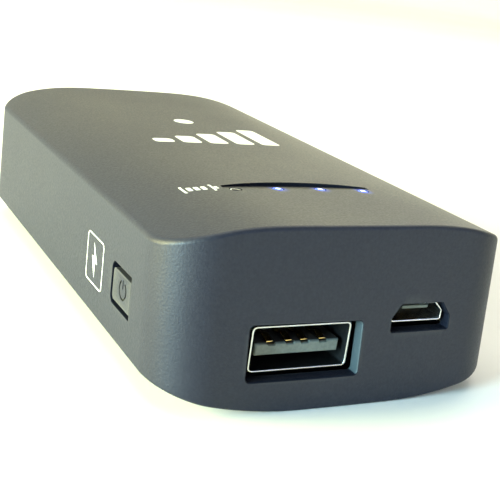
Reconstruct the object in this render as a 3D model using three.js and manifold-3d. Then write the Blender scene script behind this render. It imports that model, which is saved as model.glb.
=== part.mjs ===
// Pocket mobile hotspot with a built-in power pack.
// Millimetres, +Z up. The ports face -Y, the power button is on the -X side.
// The origin is the middle of the footprint, on the surface that the case rests on.

import * as THREE from "three";
import { mergeVertices } from "three/addons/utils/BufferGeometryUtils.js";
import Module from "manifold-3d";

const wasm = await Module();
wasm.setup();

// ---------------------------------------------------------------- driving dimensions

// Case: a block with upright walls under a crowned top and over a crowned bottom.
const WIDTH = 47.2;
const TOP_LENGTH = 82.7;
const HEIGHT = 21.75;
const TOP_CROWN = 2.95;
const BOTTOM_CROWN = 2.9;
const FLAT_STRIP = 12;
const CORNER_R = 6.7;
const FRONT_BULGE = 0.6;
const REAR_BULGE = 2.3;
const END_LEAN = 0.0343;
const SIDE_DRAFT = 0.008;
const WALL = 1.5;
const SKIN = 1.4;
const COVER_GAP = 0.15;

const HALF_WIDTH = WIDTH / 2;
const HALF_LENGTH = TOP_LENGTH / 2;
const WALL_TOP = HEIGHT - TOP_CROWN;
const WALL_HEIGHT = WALL_TOP - BOTTOM_CROWN;
const OVERSHOOT = 2;

// Main board, which hangs at mid-height behind the ports.
const BOARD = { width: 42.4, front: -40.2, rear: -13.2, bottom: 10.1, thick: 1.0, cornerR: 4.8 };
const BOARD_TOP = BOARD.bottom + BOARD.thick;
const SOLDER = 0.05;
const WIDE_SIDES = 32;

// Chips on the board: middle, width, length and height.
const CHIPS_ABOVE = {
  wifi_soc: [-7.5, -19.0, 11, 11, 0.9],
  memory_chip: [5.2, -18.8, 8, 10.4, 1.1],
  flash_chip: [-12.5, -30.2, 5.2, 5.2, 1.6],
};
const CRYSTAL = [-1.2, -30.6, 3.2, 2.5, 0.8];
const CHARGE_IC = [-12.5, -18.5, 4.9, 3.9, 1.5];
const STATUS_LED = { width: 1.6, length: 0.9, height: 0.7 };
const INDUCTOR = { x: -4.4, y: -20.5, size: 7, height: 4.2, cornerR: 1, coilR: 2.95, flange: 1.05 };
const CAPACITOR = { xs: [4.4, 11.4], y: -20.5, foot: 2.6, footH: 0.75, canR: 2.5, height: 5.35 };
const ANTENNA = { left: -15.5, right: 2.5, setback: 3.2, width: 1.8, high: 4.2, sheet: 0.3, foot: 0.8 };
const ANTENNA_SKIRT = { right: -9.0, low: 2.2 };
const ANTENNA_LEGS = [-0.4, 2.2];

// Ports.
const PORT_RIM_Y = -41.05;
const PORT_CUT_DEPTH = 3;
const SOCKET_PLAY = 0.05;
const BOARD_PLAY = 0.4;
const USB_A = { x: -5.95, z: 7.2, width: 13.15, height: 5.75, depth: 11, sheet: 0.3, cornerR: 0.6 };
const USB_A_CUT = { width: 14.55, height: 6.55, cornerR: 0.5 };
const USB_A_SPRING = { offset: 3, width: 1.8, front: 2.4, back: 6.4, sag: 0.6 };
const USB_A_TONGUE = { width: 11.1, bottom: 6.0, thick: 1.8, setback: 0.7 };
const USB_A_PLUG = { length: 3, setback: 0.2, cornerR: 0.4 };
const USB_A_CONTACT = { width: 1.0, sheet: 0.2, setback: 0.5 };
const USB_A_TIP = { front: 0.9, back: 1.7, bend: 2.8, rise: 0.5 };
const USB_A_PITCHES = [-3.5, -1, 1, 3.5];
const MICRO = { x: 9.72, z: 10.85, width: 7.5, height: 2.5, depth: 5, sheet: 0.25 };
const MICRO_CHAMFER = { outer: 1.1, inner: 1.0 };
const MICRO_CUT = { z: 10.52, width: 8.52, height: 3.34, chamferX: 1.26, chamferZ: 1.69 };
const MICRO_TONGUE = { width: 3.8, setback: 0.6, low: 0.1, high: 0.6 };
const MICRO_PLUG = { length: 1.1, setback: 0.1 };
const MICRO_CONTACT = { count: 5, pitch: 0.65, width: 0.34, setback: 0.9, low: -0.1, high: 0.08 };

// Power button: a flap cut out of the left wall, which bends about its front edge.
const BUTTON = { hingeY: -31.15, freeY: -24.5, bottom: 7.2, top: 12.5, thick: 1.1, cornerR: 0.9 };
const BUTTON_SLOT = 0.65;
const BUTTON_STEM = { length: 1.6, height: 1.3, cornerR: 0.3 };
const HINGE_GAP = 0.1;
const SWITCH = { y: -26.6, depth: 3.2, length: 5.6, height: 3.0, front: -19.9, plate: 0.2 };
const SWITCH_Z = BOARD.bottom - SWITCH.height / 2;
const SWITCH_BORE = { length: 2.6, height: 2.0, cornerR: 0.4, depth: 1.2 };
const SWITCH_OPENING = { length: 2.1, height: 1.8, cornerR: 0.4 };
const PLUNGER = { radius: 0.75, reach: 0.9, gap: 0.1, root: 0.5 };
const PLUNGER_FLANGE = { length: 2.3, height: 1.7, cornerR: 0.3, front: 0.27, back: 0.6 };

// Status lights: a scooped groove across the top with four round windows along its front edge.
const GROOVE = { rearApex: -22.45, rearR: 32, frontApex: -25.6, frontR: 62, halfLength: 10.6, depth: 0.5 };
const LIGHT = { count: 4, pitch: 6.15, y: -25.25, bow: 0.0076, windowR: 0.85, guideR: 0.78 };
const GUIDE = { foot: 1.1, recess: 0.12 };
const GUIDE_BAR = { gap: 0.15, height: 1.2, front: 0.6, rear: 1.3, end: 1 };

// Cells: two side by side, each an 18 mm can.
const CELL = { radius: 9.0, wrap: 0.12, length: 50, front: -12.0, x: 9.2, z: 10.91, can: 0.3, crimp: 1.6 };
const CELL_CAP = { gap: 0.3, back: 1.9, thick: 0.55, footR: 3.4, topR: 3.0, proud: 0.8 };
const CELL_BEAD = { back: 2.9, half: 0.5, depth: 0.5 };
const CELL_CORE = { gap: 0.1, foot: 0.3, front: 5 };
const SLEEVE = { play: 0.02, lip: 2.2 };
const STRIP = { thick: 0.15, width: 6, cornerR: 1, overhang: 2.4 };
const POSITIVE_STRIP_Y = CELL.front - STRIP.thick - SOLDER;
const NEGATIVE_STRIP_Y = CELL.front + CELL.length + 0.2;
const CARD_PANEL = { y: CELL.front - 0.6, width: 34, height: 15.4, rise: 0.4, thick: 0.25, cornerR: 2 };
const FOAM_PAD = { width: 24, height: 7, rise: 0.3, thick: 1, cornerR: 1 };
const LEAD = { radius: 0.55, positiveX: 2.2 };
const LEAD_NOTCH = { play: 1.3, top: -1.4 };

// Fasteners.
const CASE_BOSSES = [[-19.4, -34.4], [19.4, -34.4]];
const BOARD_BOSSES = [[-17.8, -16.6], [17.8, -16.6]];
const SCREW = { shankR: 0.75, headR: 1.65, headH: 1.1, slot: 0.35, point: 0.9 };
const CASE_SCREW_LENGTH = 7;
const BOARD_SCREW_LENGTH = 5;
const CASE_SCREW_SEAT = 3.7;
const PILOT_R = 0.85;
const PILOT_DEPTH = 8.3;
const CASE_BOSS_R = 1.7;
const BOARD_BOSS_R = 2.1;
const BOARD_HOLE_R = 1.15;
const BOARD_NOTCH_R = 2.2;
const COVER_CUP = { radius: 2.6, recessR: 1.9, holeR: 1.05, floor: 1.2 };

// Snap clips: upright ribs on the cover whose teeth click into pockets in the walls.
const CLIP = { low: 4.1, high: 5.0, bite: 0.8, play: 0.2, rib: 1.0, reach: 4 };
const REAR_CLIP_X = [-10, 10];
const SIDE_CLIP_Y = 8;
const CLIP_LENGTH = 5;

// ---------------------------------------------------------------- materials

function material(color, roughness, metalness = 0) {
  return new THREE.MeshStandardMaterial({ color, roughness, metalness });
}

const CASE = material(0x777a6e, 0.55);
const BOARD_MASK = material(0x1d5a35, 0.45);
const STEEL = material(0xb9bcbf, 0.3, 1);
const GOLD = material(0xd2a544, 0.3, 1);
const NICKEL = material(0xc8c7bf, 0.35, 1);
const CHIP = material(0x1b1c1e, 0.6);
const FERRITE = material(0x3a3a3c, 0.7);
const LIGHT_PLASTIC = material(0xd9e0dc, 0.4);
const DARK_PLASTIC = material(0x151618, 0.5);
const CLEAR = material(0xdfeaf5, 0.12);
const WRAP = material(0x2f6f9f, 0.4);
const ELECTRODE = material(0x8d8f92, 0.6);
const RED_WIRE = material(0xb3201c, 0.45);
const BLACK_WIRE = material(0x17181a, 0.45);
const FOAM = material(0x2c2d2f, 0.95);
const CARD = material(0xc9b98c, 0.85);

// ---------------------------------------------------------------- solids

// A closed geometry as a solid that can be joined and cut.
function solid(geometry) {
  const bare = geometry.clone();
  bare.deleteAttribute("normal");
  bare.deleteAttribute("uv");
  const merged = mergeVertices(bare, 1e-4);
  const mesh = new wasm.Mesh({
    numProp: 3,
    vertProperties: new Float32Array(merged.attributes.position.array),
    triVerts: new Uint32Array(merged.index.array),
  });
  return new wasm.Manifold(mesh);
}

// A solid back as a flat-shaded geometry.
function geometryOf(made) {
  const mesh = made.getMesh();
  const indexed = new THREE.BufferGeometry();
  indexed.setAttribute("position", new THREE.BufferAttribute(new Float32Array(mesh.vertProperties), 3));
  indexed.setIndex(new THREE.BufferAttribute(new Uint32Array(mesh.triVerts), 1));
  const flat = indexed.toNonIndexed();
  flat.computeVertexNormals();
  return flat;
}

function union(first, ...others) {
  return others.reduce((sum, other) => sum.add(other), first);
}

function cut(first, ...tools) {
  return tools.reduce((left, tool) => left.subtract(tool), first);
}

// The three ways that a flat outline is extruded: up, towards -Y from a plane, and towards +X.
const FACING_FRONT = new THREE.Matrix4().makeBasis(
  new THREE.Vector3(1, 0, 0),
  new THREE.Vector3(0, 0, 1),
  new THREE.Vector3(0, -1, 0),
);
const FACING_SIDE = new THREE.Matrix4().makeBasis(
  new THREE.Vector3(0, 1, 0),
  new THREE.Vector3(0, 0, 1),
  new THREE.Vector3(1, 0, 0),
);

function extrude(shape, depth, curveSegments = 2) {
  return new THREE.ExtrudeGeometry(shape, { depth, bevelEnabled: false, curveSegments });
}

// From z = low to z = high.
function upright(shape, low, high, curveSegments) {
  return solid(extrude(shape, high - low, curveSegments).translate(0, 0, low));
}

// The outline's x and y become X and Z, and the solid runs from y = front to y = back.
function frontward(shape, front, back, curveSegments) {
  const turned = extrude(shape, back - front, curveSegments).applyMatrix4(FACING_FRONT);
  return solid(turned.translate(0, back, 0));
}

// The outline's x and y become Y and Z, and the solid runs from x = low to x = high.
function sideward(shape, low, high, curveSegments) {
  return solid(extrude(shape, high - low, curveSegments).applyMatrix4(FACING_SIDE).translate(low, 0, 0));
}

// A box between two corners.
function block(low, high) {
  const size = high.map((value, i) => value - low[i]);
  const middle = high.map((value, i) => (value + low[i]) / 2);
  return solid(new THREE.BoxGeometry(...size).translate(...middle));
}

// An upright cylinder from z = low to z = high.
function post(radius, x, y, low, high, sides = 20) {
  const geometry = new THREE.CylinderGeometry(radius, radius, high - low, sides);
  return solid(geometry.rotateX(Math.PI / 2).translate(x, y, (low + high) / 2));
}

function roundedRectangle(cx, cy, width, height, r) {
  const x0 = cx - width / 2;
  const x1 = cx + width / 2;
  const y0 = cy - height / 2;
  const y1 = cy + height / 2;
  const shape = new THREE.Shape();
  shape.absarc(x1 - r, y0 + r, r, -Math.PI / 2, 0);
  shape.absarc(x1 - r, y1 - r, r, 0, Math.PI / 2);
  shape.absarc(x0 + r, y1 - r, r, Math.PI / 2, Math.PI);
  shape.absarc(x0 + r, y0 + r, r, Math.PI, Math.PI * 1.5);
  shape.closePath();
  return shape;
}

function polygon(points) {
  return new THREE.Shape(points.map(([x, y]) => new THREE.Vector2(x, y)));
}

// ---------------------------------------------------------------- case surfaces

function crown(x) {
  return Math.max(0, Math.abs(x) - FLAT_STRIP / 2) / (HALF_WIDTH - FLAT_STRIP / 2);
}

function topZ(x) {
  return HEIGHT - TOP_CROWN * crown(x) ** 3;
}

function bottomZ(x) {
  return BOTTOM_CROWN * crown(x) ** 2;
}

// The plan of the walls at the top edge, moved in by inset.
function planShape(inset) {
  const r = CORNER_R - inset;
  const cornerX = HALF_WIDTH - CORNER_R;
  const shape = new THREE.Shape();
  for (const [bulge, side] of [[FRONT_BULGE, -1], [REAR_BULGE, 1]]) {
    const endR = (HALF_WIDTH ** 2 + bulge ** 2) / (2 * bulge);
    const endCentre = HALF_LENGTH - endR;
    const cornerY = endCentre + Math.sqrt((endR - CORNER_R) ** 2 - cornerX ** 2);
    const lean = Math.asin(cornerX / (endR - CORNER_R));
    const middle = (side * Math.PI) / 2;
    const start = side < 0 ? Math.PI : 0;
    shape.absarc(side * cornerX, side * cornerY, r, start, middle - lean);
    shape.absarc(0, side * endCentre, endR - inset, middle - lean, middle + lean);
    shape.absarc(-side * cornerX, side * cornerY, r, middle + lean, start + Math.PI);
  }
  shape.closePath();
  return shape;
}

// The walls' plan as a tall solid: its sides draw in and its ends lean out towards the bottom.
function planSolid(inset) {
  const geometry = extrude(planShape(inset), HEIGHT + 2 * OVERSHOOT, 5).translate(0, 0, -OVERSHOOT);
  const position = geometry.attributes.position;
  for (let i = 0; i < position.count; i += 1) {
    const drop = (WALL_TOP - position.getZ(i)) / WALL_HEIGHT;
    position.setX(i, position.getX(i) * (1 - SIDE_DRAFT * drop));
    position.setY(i, position.getY(i) * (1 + END_LEAN * drop));
  }
  return solid(geometry);
}

// A solid along the whole length between two curves of the cross-section.
function sectionSolid(lower, upper) {
  const steps = 28;
  const reach = HALF_WIDTH + 1;
  const xs = Array.from({ length: steps + 1 }, (_, i) => -reach + (2 * reach * i) / steps);
  const under = xs.map((x) => [x, lower(x)]);
  const over = xs.map((x) => [x, upper(x)]).reverse();
  const end = HALF_LENGTH + 2 * OVERSHOOT;
  return frontward(polygon([...under, ...over]), -end, end);
}

const caseBody = sectionSolid(bottomZ, topZ).intersect(planSolid(0));
const caseCavity = sectionSolid(() => -OVERSHOOT, (x) => topZ(x) - SKIN).intersect(planSolid(WALL));

// ---------------------------------------------------------------- scene graph

const group = new THREE.Group();

function add(name, made, look) {
  const geometry = made.isBufferGeometry ? made : geometryOf(made);
  const mesh = new THREE.Mesh(geometry, look);
  mesh.name = name;
  group.add(mesh);
  return mesh;
}

// ---------------------------------------------------------------- case

function microOutline(x, z, width, height, chamferX, chamferZ) {
  const w = width / 2;
  const h = height / 2;
  return polygon([
    [x - w, z - h],
    [x + w, z - h],
    [x + w, z + h - chamferZ],
    [x + w - chamferX, z + h],
    [x - w + chamferX, z + h],
    [x - w, z + h - chamferZ],
  ]);
}

function portCuts() {
  const front = -HALF_LENGTH - 2 * OVERSHOOT;
  const back = -HALF_LENGTH + PORT_CUT_DEPTH;
  const usb = roundedRectangle(USB_A.x, USB_A.z, USB_A_CUT.width, USB_A_CUT.height, USB_A_CUT.cornerR);
  const { width, height, chamferX, chamferZ } = MICRO_CUT;
  const micro = microOutline(MICRO.x, MICRO_CUT.z, width, height, chamferX, chamferZ);
  return [frontward(usb, front, back), frontward(micro, front, back)];
}

// Where the lights stand: evenly along X on a shallow bow.
function lightPlaces() {
  return Array.from({ length: LIGHT.count }, (_, i) => {
    const x = (i - (LIGHT.count - 1) / 2) * LIGHT.pitch;
    return [x, LIGHT.y - LIGHT.bow * x * x];
  });
}

// The scoop's floor starts flush along its front edge and drops to full depth at its rear edge.
function grooveCut() {
  const rearAngle = Math.asin(GROOVE.halfLength / GROOVE.rearR);
  const frontAngle = Math.asin(GROOVE.halfLength / GROOVE.frontR);
  const up = Math.PI / 2;
  const shape = new THREE.Shape();
  shape.absarc(0, GROOVE.rearApex - GROOVE.rearR, GROOVE.rearR, up - rearAngle, up + rearAngle);
  shape.absarc(0, GROOVE.frontApex - GROOVE.frontR, GROOVE.frontR, up + frontAngle, up - frontAngle, true);
  shape.closePath();
  const run = GROOVE.rearApex - GROOVE.frontApex;
  const tilt = Math.atan(GROOVE.depth / run);
  const geometry = extrude(shape, 4, 6).translate(0, -GROOVE.frontApex, 0);
  return solid(geometry.rotateX(-tilt).translate(0, GROOVE.frontApex, HEIGHT));
}

function buttonOutline(slot, hingeGap) {
  const front = BUTTON.hingeY + hingeGap;
  const rear = BUTTON.freeY - slot;
  const low = BUTTON.bottom + slot;
  const high = BUTTON.top - slot;
  const r = BUTTON.cornerR - slot / 2;
  const shape = new THREE.Shape();
  shape.absarc(rear - r, low + r, r, -Math.PI / 2, 0);
  shape.absarc(rear - r, high - r, r, 0, Math.PI / 2);
  shape.lineTo(front, high);
  shape.lineTo(front, low);
  shape.closePath();
  return shape;
}

// Boxes across the walls where the clips are, from low to high, grown by play.
function clipZones(low, high, play) {
  const half = CLIP_LENGTH / 2 + play;
  const rear = REAR_CLIP_X.map((x) => {
    const front = HALF_LENGTH - CLIP.reach;
    return block([x - half, front, low - play], [x + half, HALF_LENGTH + CLIP.reach, high + play]);
  });
  const sides = [-1, 1].map((side) => {
    const xs = [side * (HALF_WIDTH - CLIP.reach), side * (HALF_WIDTH + CLIP.reach)].sort((a, b) => a - b);
    return block([xs[0], SIDE_CLIP_Y - half, low - play], [xs[1], SIDE_CLIP_Y + half, high + play]);
  });
  return union(...rear, ...sides);
}

function upperShell() {
  const bossFoot = CASE_SCREW_SEAT + COVER_CUP.floor + COVER_GAP;
  const boardFoot = BOARD_TOP + SOLDER;
  const caseBosses = CASE_BOSSES.map(([x, y]) => post(CASE_BOSS_R, x, y, bossFoot, topZ(x) - SKIN / 2));
  const boardBosses = BOARD_BOSSES.map(([x, y]) => post(BOARD_BOSS_R, x, y, boardFoot, topZ(x) - SKIN / 2));
  const casePilots = CASE_BOSSES.map(([x, y]) => post(PILOT_R, x, y, 0, CASE_SCREW_SEAT + PILOT_DEPTH));
  const boardPilots = BOARD_BOSSES.map(([x, y]) => post(PILOT_R, x, y, 0, boardFoot + PILOT_DEPTH / 2));
  const toothRoom = planSolid(WALL - CLIP.bite - CLIP.play);
  const pockets = clipZones(CLIP.low, CLIP.high, CLIP.play).intersect(toothRoom);
  const windows = lightPlaces().map(([x, y]) => post(LIGHT.windowR, x, y, HEIGHT - 3, HEIGHT + 1));
  const buttonHole = sideward(buttonOutline(0, 0), -HALF_WIDTH - OVERSHOOT, -HALF_WIDTH + OVERSHOOT);
  const hollow = union(cut(caseBody, caseCavity), ...caseBosses, ...boardBosses);
  const holes = [...casePilots, ...boardPilots, ...windows, ...portCuts()];
  return cut(hollow, ...holes, buttonHole, grooveCut(), pockets);
}

// The cover fills the mouth under the walls: a crowned skin with a cup round each case screw
// and four snap clips.
function bottomCover() {
  const skin = sectionSolid(bottomZ, (x) => bottomZ(x) + SKIN);
  const { radius, recessR, holeR, floor } = COVER_CUP;
  const cupTop = CASE_SCREW_SEAT + floor;
  const cups = CASE_BOSSES.map(([x, y]) => post(radius, x, y, bottomZ(x) + SKIN / 2, cupTop));
  const recesses = CASE_BOSSES.map(([x, y]) => post(recessR, x, y, -OVERSHOOT, CASE_SCREW_SEAT));
  const holes = CASE_BOSSES.map(([x, y]) => post(holeR, x, y, -OVERSHOOT, cupTop + OVERSHOOT));
  const edge = WALL + COVER_GAP;
  const ribs = clipZones(0, CLIP.high, 0).intersect(caseBody).subtract(planSolid(edge + CLIP.rib));
  const teeth = clipZones(CLIP.low, CLIP.high, 0).subtract(planSolid(edge + CLIP.rib / 2));
  const body = union(skin, ...cups, ribs).intersect(planSolid(edge));
  return cut(body.add(teeth.intersect(planSolid(WALL - CLIP.bite))), ...recesses, ...holes);
}

// A rounded rectangle round the switch's axis, seen from the side.
function switchOutline({ length, height, cornerR }) {
  return roundedRectangle(SWITCH.y, SWITCH_Z, length, height, cornerR);
}

// The flap is the wall's own outer layer, with a stem that reaches in to the switch.
function powerButton() {
  const inner = planSolid(BUTTON.thick);
  const outline = sideward(buttonOutline(BUTTON_SLOT, HINGE_GAP), -HALF_WIDTH - OVERSHOOT, 0);
  const flap = caseBody.subtract(inner).intersect(outline);
  const stemEnd = SWITCH.front - PLUNGER.reach - PLUNGER.gap;
  const stem = sideward(switchOutline(BUTTON_STEM), -HALF_WIDTH + BUTTON.thick / 2, stemEnd);
  return flap.add(stem);
}

// ---------------------------------------------------------------- fasteners

// A small pan-head screw that points up, with a cross slot in the underside of its head.
function screw(x, y, seat, length) {
  const { shankR, headR, headH, slot, point } = SCREW;
  const profile = [
    [0, -headH],
    [headR * 0.7, -headH],
    [headR, -headH * 0.55],
    [headR, 0],
    [shankR, 0],
    [shankR, length - point],
    [0, length],
  ].map(([r, z]) => new THREE.Vector2(r, z));
  const turned = new THREE.LatheGeometry(profile, 20).rotateX(Math.PI / 2).translate(x, y, seat);
  const reach = headR * 0.6;
  const low = seat - 2 * headH;
  const high = seat - headH / 2;
  const along = block([x - reach, y - slot / 2, low], [x + reach, y + slot / 2, high]);
  const across = block([x - slot / 2, y - reach, low], [x + slot / 2, y + reach, high]);
  return cut(solid(turned), along, across);
}

// ---------------------------------------------------------------- board and its parts

function mainBoard() {
  const { width, front, rear, bottom, cornerR } = BOARD;
  const outline = roundedRectangle(0, (front + rear) / 2, width, rear - front, cornerR);
  const board = upright(outline, bottom, BOARD_TOP);
  const notchX = MICRO.width / 2 + BOARD_PLAY;
  const notchBack = PORT_RIM_Y + MICRO.depth + BOARD_PLAY;
  const notch = block([MICRO.x - notchX, front - OVERSHOOT, 0], [MICRO.x + notchX, notchBack, HEIGHT]);
  const bossNotches = CASE_BOSSES.map(([x, y]) => post(BOARD_NOTCH_R, x, y, 0, HEIGHT));
  const rimNotches = CASE_BOSSES.map(([x, y]) => {
    const outer = Math.sign(x) * HALF_WIDTH;
    const [low, high] = [x, outer].sort((a, b) => a - b);
    return block([low, y - BOARD_NOTCH_R, 0], [high, y + BOARD_NOTCH_R, HEIGHT]);
  });
  const holes = BOARD_BOSSES.map(([x, y]) => post(BOARD_HOLE_R, x, y, 0, HEIGHT));
  return cut(board, notch, ...bossNotches, ...rimNotches, ...holes);
}

// A chip body with sloped upper edges, centred on x, y, which stands on a face of the board.
function chip(x, y, width, length, height, onTop = true) {
  const slope = Math.min(0.15, height / 4);
  const outline = polygon([
    [x - width / 2, 0],
    [x + width / 2, 0],
    [x + width / 2 - slope, height],
    [x - width / 2 + slope, height],
  ]);
  const body = frontward(outline, y - length / 2, y + length / 2);
  if (onTop) {
    return body.translate(0, 0, BOARD_TOP + SOLDER);
  }
  return body.rotate([0, 180, 0]).translate(2 * x, 0, BOARD.bottom - SOLDER);
}

// A can capacitor that hangs under the board: square foot, round can.
function canCapacitor(x) {
  const { y, foot, footH, canR, height } = CAPACITOR;
  const z = BOARD.bottom - SOLDER;
  const base = block([x - foot, y - foot, z - footH], [x + foot, y + foot, z]);
  return base.add(post(canR, x, y, z - height, z - footH / 2, WIDE_SIDES));
}

// A power inductor: a square core with a round coil window turned into its sides.
function inductor() {
  const { x, y, size, height, cornerR, coilR, flange } = INDUCTOR;
  const z = BOARD.bottom - SOLDER;
  const core = upright(roundedRectangle(x, y, size, size, cornerR), z - height, z);
  const ring = post(size, x, y, z - height + flange, z - flange, WIDE_SIDES);
  return core.subtract(ring.subtract(post(coilR, x, y, 0, HEIGHT, WIDE_SIDES)));
}

// A stamped inverted-F antenna: a raised arm, two legs and two solder feet.
function antenna() {
  const { left, right, setback, width, high, sheet, foot } = ANTENNA;
  const z = BOARD_TOP + SOLDER;
  const y = BOARD.front + setback;
  const bend = z + high + sheet / 2;
  const arm = block([left, y, z + high], [right, y + width, z + high + sheet]);
  const skirt = block([left, y, z + ANTENNA_SKIRT.low], [ANTENNA_SKIRT.right, y + sheet, bend]);
  const legs = ANTENNA_LEGS.map((x) => block([x, y, z], [x + sheet, y + width, bend]));
  const feet = ANTENNA_LEGS.map((x) => block([x, y, z], [x + sheet, y + width + foot, z + sheet]));
  return union(arm, skirt, ...legs, ...feet);
}

// ---------------------------------------------------------------- lights

// One clear moulding: four posts from above the lights to the windows, tied by a bar.
function lightGuide() {
  const { gap, height, front, rear, end } = GUIDE_BAR;
  const places = lightPlaces();
  const low = BOARD_TOP + GUIDE.foot;
  const posts = places.map(([x, y]) => post(LIGHT.guideR, x, y, low, HEIGHT - GUIDE.recess));
  const [endX, endY] = places[places.length - 1];
  const top = topZ(endX) - SKIN - gap;
  const bar = block([-endX - end, endY - front, top - height], [endX + end, endY + rear, top]);
  return union(bar, ...posts);
}

// ---------------------------------------------------------------- switch

function switchBody() {
  const { y, depth, length, height, front, plate } = SWITCH;
  const top = BOARD.bottom - SOLDER;
  const face = front + plate + SOLDER;
  const body = block([face, y - length / 2, top - height], [front + depth, y + length / 2, top]);
  const bore = sideward(switchOutline(SWITCH_BORE), front, front + SWITCH_BORE.depth);
  return body.subtract(bore);
}

// The steel plate over the switch's front, with the opening that the plunger comes through.
function switchPlate() {
  const { y, length, height, front, plate } = SWITCH;
  const top = BOARD.bottom - SOLDER;
  const sheet = block([front, y - length / 2, top - height], [front + plate, y + length / 2, top]);
  return sheet.subtract(sideward(switchOutline(SWITCH_OPENING), front - OVERSHOOT, front + OVERSHOOT));
}

// A round nose on a flange that the plate holds in.
function switchPlunger() {
  const { radius, reach, root } = PLUNGER;
  const { front, back } = PLUNGER_FLANGE;
  const nose = new THREE.CylinderGeometry(radius, radius, reach + root, 20).rotateZ(Math.PI / 2);
  const pin = solid(nose.translate(SWITCH.front + (root - reach) / 2, SWITCH.y, SWITCH_Z));
  return pin.add(sideward(switchOutline(PLUNGER_FLANGE), SWITCH.front + front, SWITCH.front + back));
}

// ---------------------------------------------------------------- USB-A port

function usbAShell() {
  const { x, z, width, height, depth, sheet, cornerR } = USB_A;
  const outer = roundedRectangle(x, z, width, height, cornerR);
  outer.holes.push(roundedRectangle(x, z, width - 2 * sheet, height - 2 * sheet, cornerR - sheet / 2));
  const tube = frontward(outer, PORT_RIM_Y, PORT_RIM_Y + depth, 4);
  const top = z + height / 2;
  const springs = [-1, 1].map((side) => {
    const left = x + side * USB_A_SPRING.offset - USB_A_SPRING.width / 2;
    const low = [left, PORT_RIM_Y + USB_A_SPRING.front, top - USB_A_SPRING.sag];
    return block(low, [left + USB_A_SPRING.width, PORT_RIM_Y + USB_A_SPRING.back, top]);
  });
  return union(tube, ...springs);
}

function usbAInsulator() {
  const { x, z, width, height, depth, sheet } = USB_A;
  const shrink = 2 * (sheet + SOCKET_PLAY);
  const outline = roundedRectangle(x, z, width - shrink, height - shrink, USB_A_PLUG.cornerR);
  const back = PORT_RIM_Y + depth - USB_A_PLUG.setback;
  const plug = frontward(outline, back - USB_A_PLUG.length, back, 3);
  const { bottom, thick, setback } = USB_A_TONGUE;
  const left = x - USB_A_TONGUE.width / 2;
  const tongueBack = back - USB_A_PLUG.length / 2;
  const low = [left, PORT_RIM_Y + setback, bottom];
  return plug.add(block(low, [left + USB_A_TONGUE.width, tongueBack, bottom + thick]));
}

// A contact lies along the upper face of the tongue and rises to a rounded tip.
function usbAContact(offset) {
  const { width, sheet, setback } = USB_A_CONTACT;
  const low = USB_A_TONGUE.bottom + USB_A_TONGUE.thick + SOCKET_PLAY / 2;
  const front = PORT_RIM_Y + USB_A_TONGUE.setback + setback;
  const back = PORT_RIM_Y + USB_A.depth - USB_A_PLUG.setback - USB_A_PLUG.length - SOCKET_PLAY;
  const side = polygon([
    [front, low],
    [back, low],
    [back, low + sheet],
    [front + USB_A_TIP.bend, low + sheet],
    [front + USB_A_TIP.back, low + USB_A_TIP.rise],
    [front + USB_A_TIP.front, low + USB_A_TIP.rise],
    [front, low + sheet],
  ]);
  const x = USB_A.x + offset;
  return sideward(side, x - width / 2, x + width / 2);
}

// ---------------------------------------------------------------- micro-USB port

function microShell() {
  const { x, z, width, height, depth, sheet } = MICRO;
  const { outer: out, inner } = MICRO_CHAMFER;
  const outline = microOutline(x, z, width, height, out, out);
  outline.holes.push(microOutline(x, z, width - 2 * sheet, height - 2 * sheet, inner, inner));
  return frontward(outline, PORT_RIM_Y, PORT_RIM_Y + depth);
}

function microInsulator() {
  const { x, z, width, height, depth, sheet } = MICRO;
  const { inner } = MICRO_CHAMFER;
  const shrink = 2 * (sheet + SOCKET_PLAY);
  const outline = microOutline(x, z, width - shrink, height - shrink, inner, inner);
  const back = PORT_RIM_Y + depth - MICRO_PLUG.setback;
  const plug = frontward(outline, back - MICRO_PLUG.length, back);
  const left = x - MICRO_TONGUE.width / 2;
  const low = [left, PORT_RIM_Y + MICRO_TONGUE.setback, z + MICRO_TONGUE.low];
  const high = [left + MICRO_TONGUE.width, back - MICRO_PLUG.length / 2, z + MICRO_TONGUE.high];
  return plug.add(block(low, high));
}

// A flat contact on the underside of the tongue.
function microContact(offset) {
  const left = MICRO.x + offset - MICRO_CONTACT.width / 2;
  const back = PORT_RIM_Y + MICRO.depth - MICRO_PLUG.setback - MICRO_PLUG.length - SOCKET_PLAY;
  const low = [left, PORT_RIM_Y + MICRO_CONTACT.setback, MICRO.z + MICRO_CONTACT.low];
  return block(low, [left + MICRO_CONTACT.width, back, MICRO.z + MICRO_CONTACT.high]);
}

// ---------------------------------------------------------------- cells

// A deep-drawn can with its mouth at the front: a tube with one end, rolled in at the groove.
function cellCan(x) {
  const r = CELL.radius;
  const wall = CELL.can;
  const mouth = CELL.length - CELL_CAP.proud;
  const { half, depth } = CELL_BEAD;
  const bead = mouth - CELL_BEAD.back;
  const profile = [
    [0, 0],
    [r - depth, 0],
    [r, depth],
    [r, bead - half],
    [r - depth, bead],
    [r, bead + half],
    [r, mouth - wall],
    [r - CELL.crimp, mouth],
    [r - CELL.crimp, mouth - wall],
    [r - wall, mouth - 2 * wall],
    [r - wall, bead + half + wall / 3],
    [r - depth - wall, bead],
    [r - wall, bead - half - wall / 3],
    [r - wall, wall],
    [0, wall],
  ].map(([radius, z]) => new THREE.Vector2(radius, z));
  return facingCells(new THREE.LatheGeometry(profile, 28), x);
}

// Turns a lathe whose axis is +Z at the cell's rear end so that it points to the board.
function facingCells(lathe, x) {
  return lathe.rotateX(Math.PI).translate(x, CELL.front + CELL.length, CELL.z);
}

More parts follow.
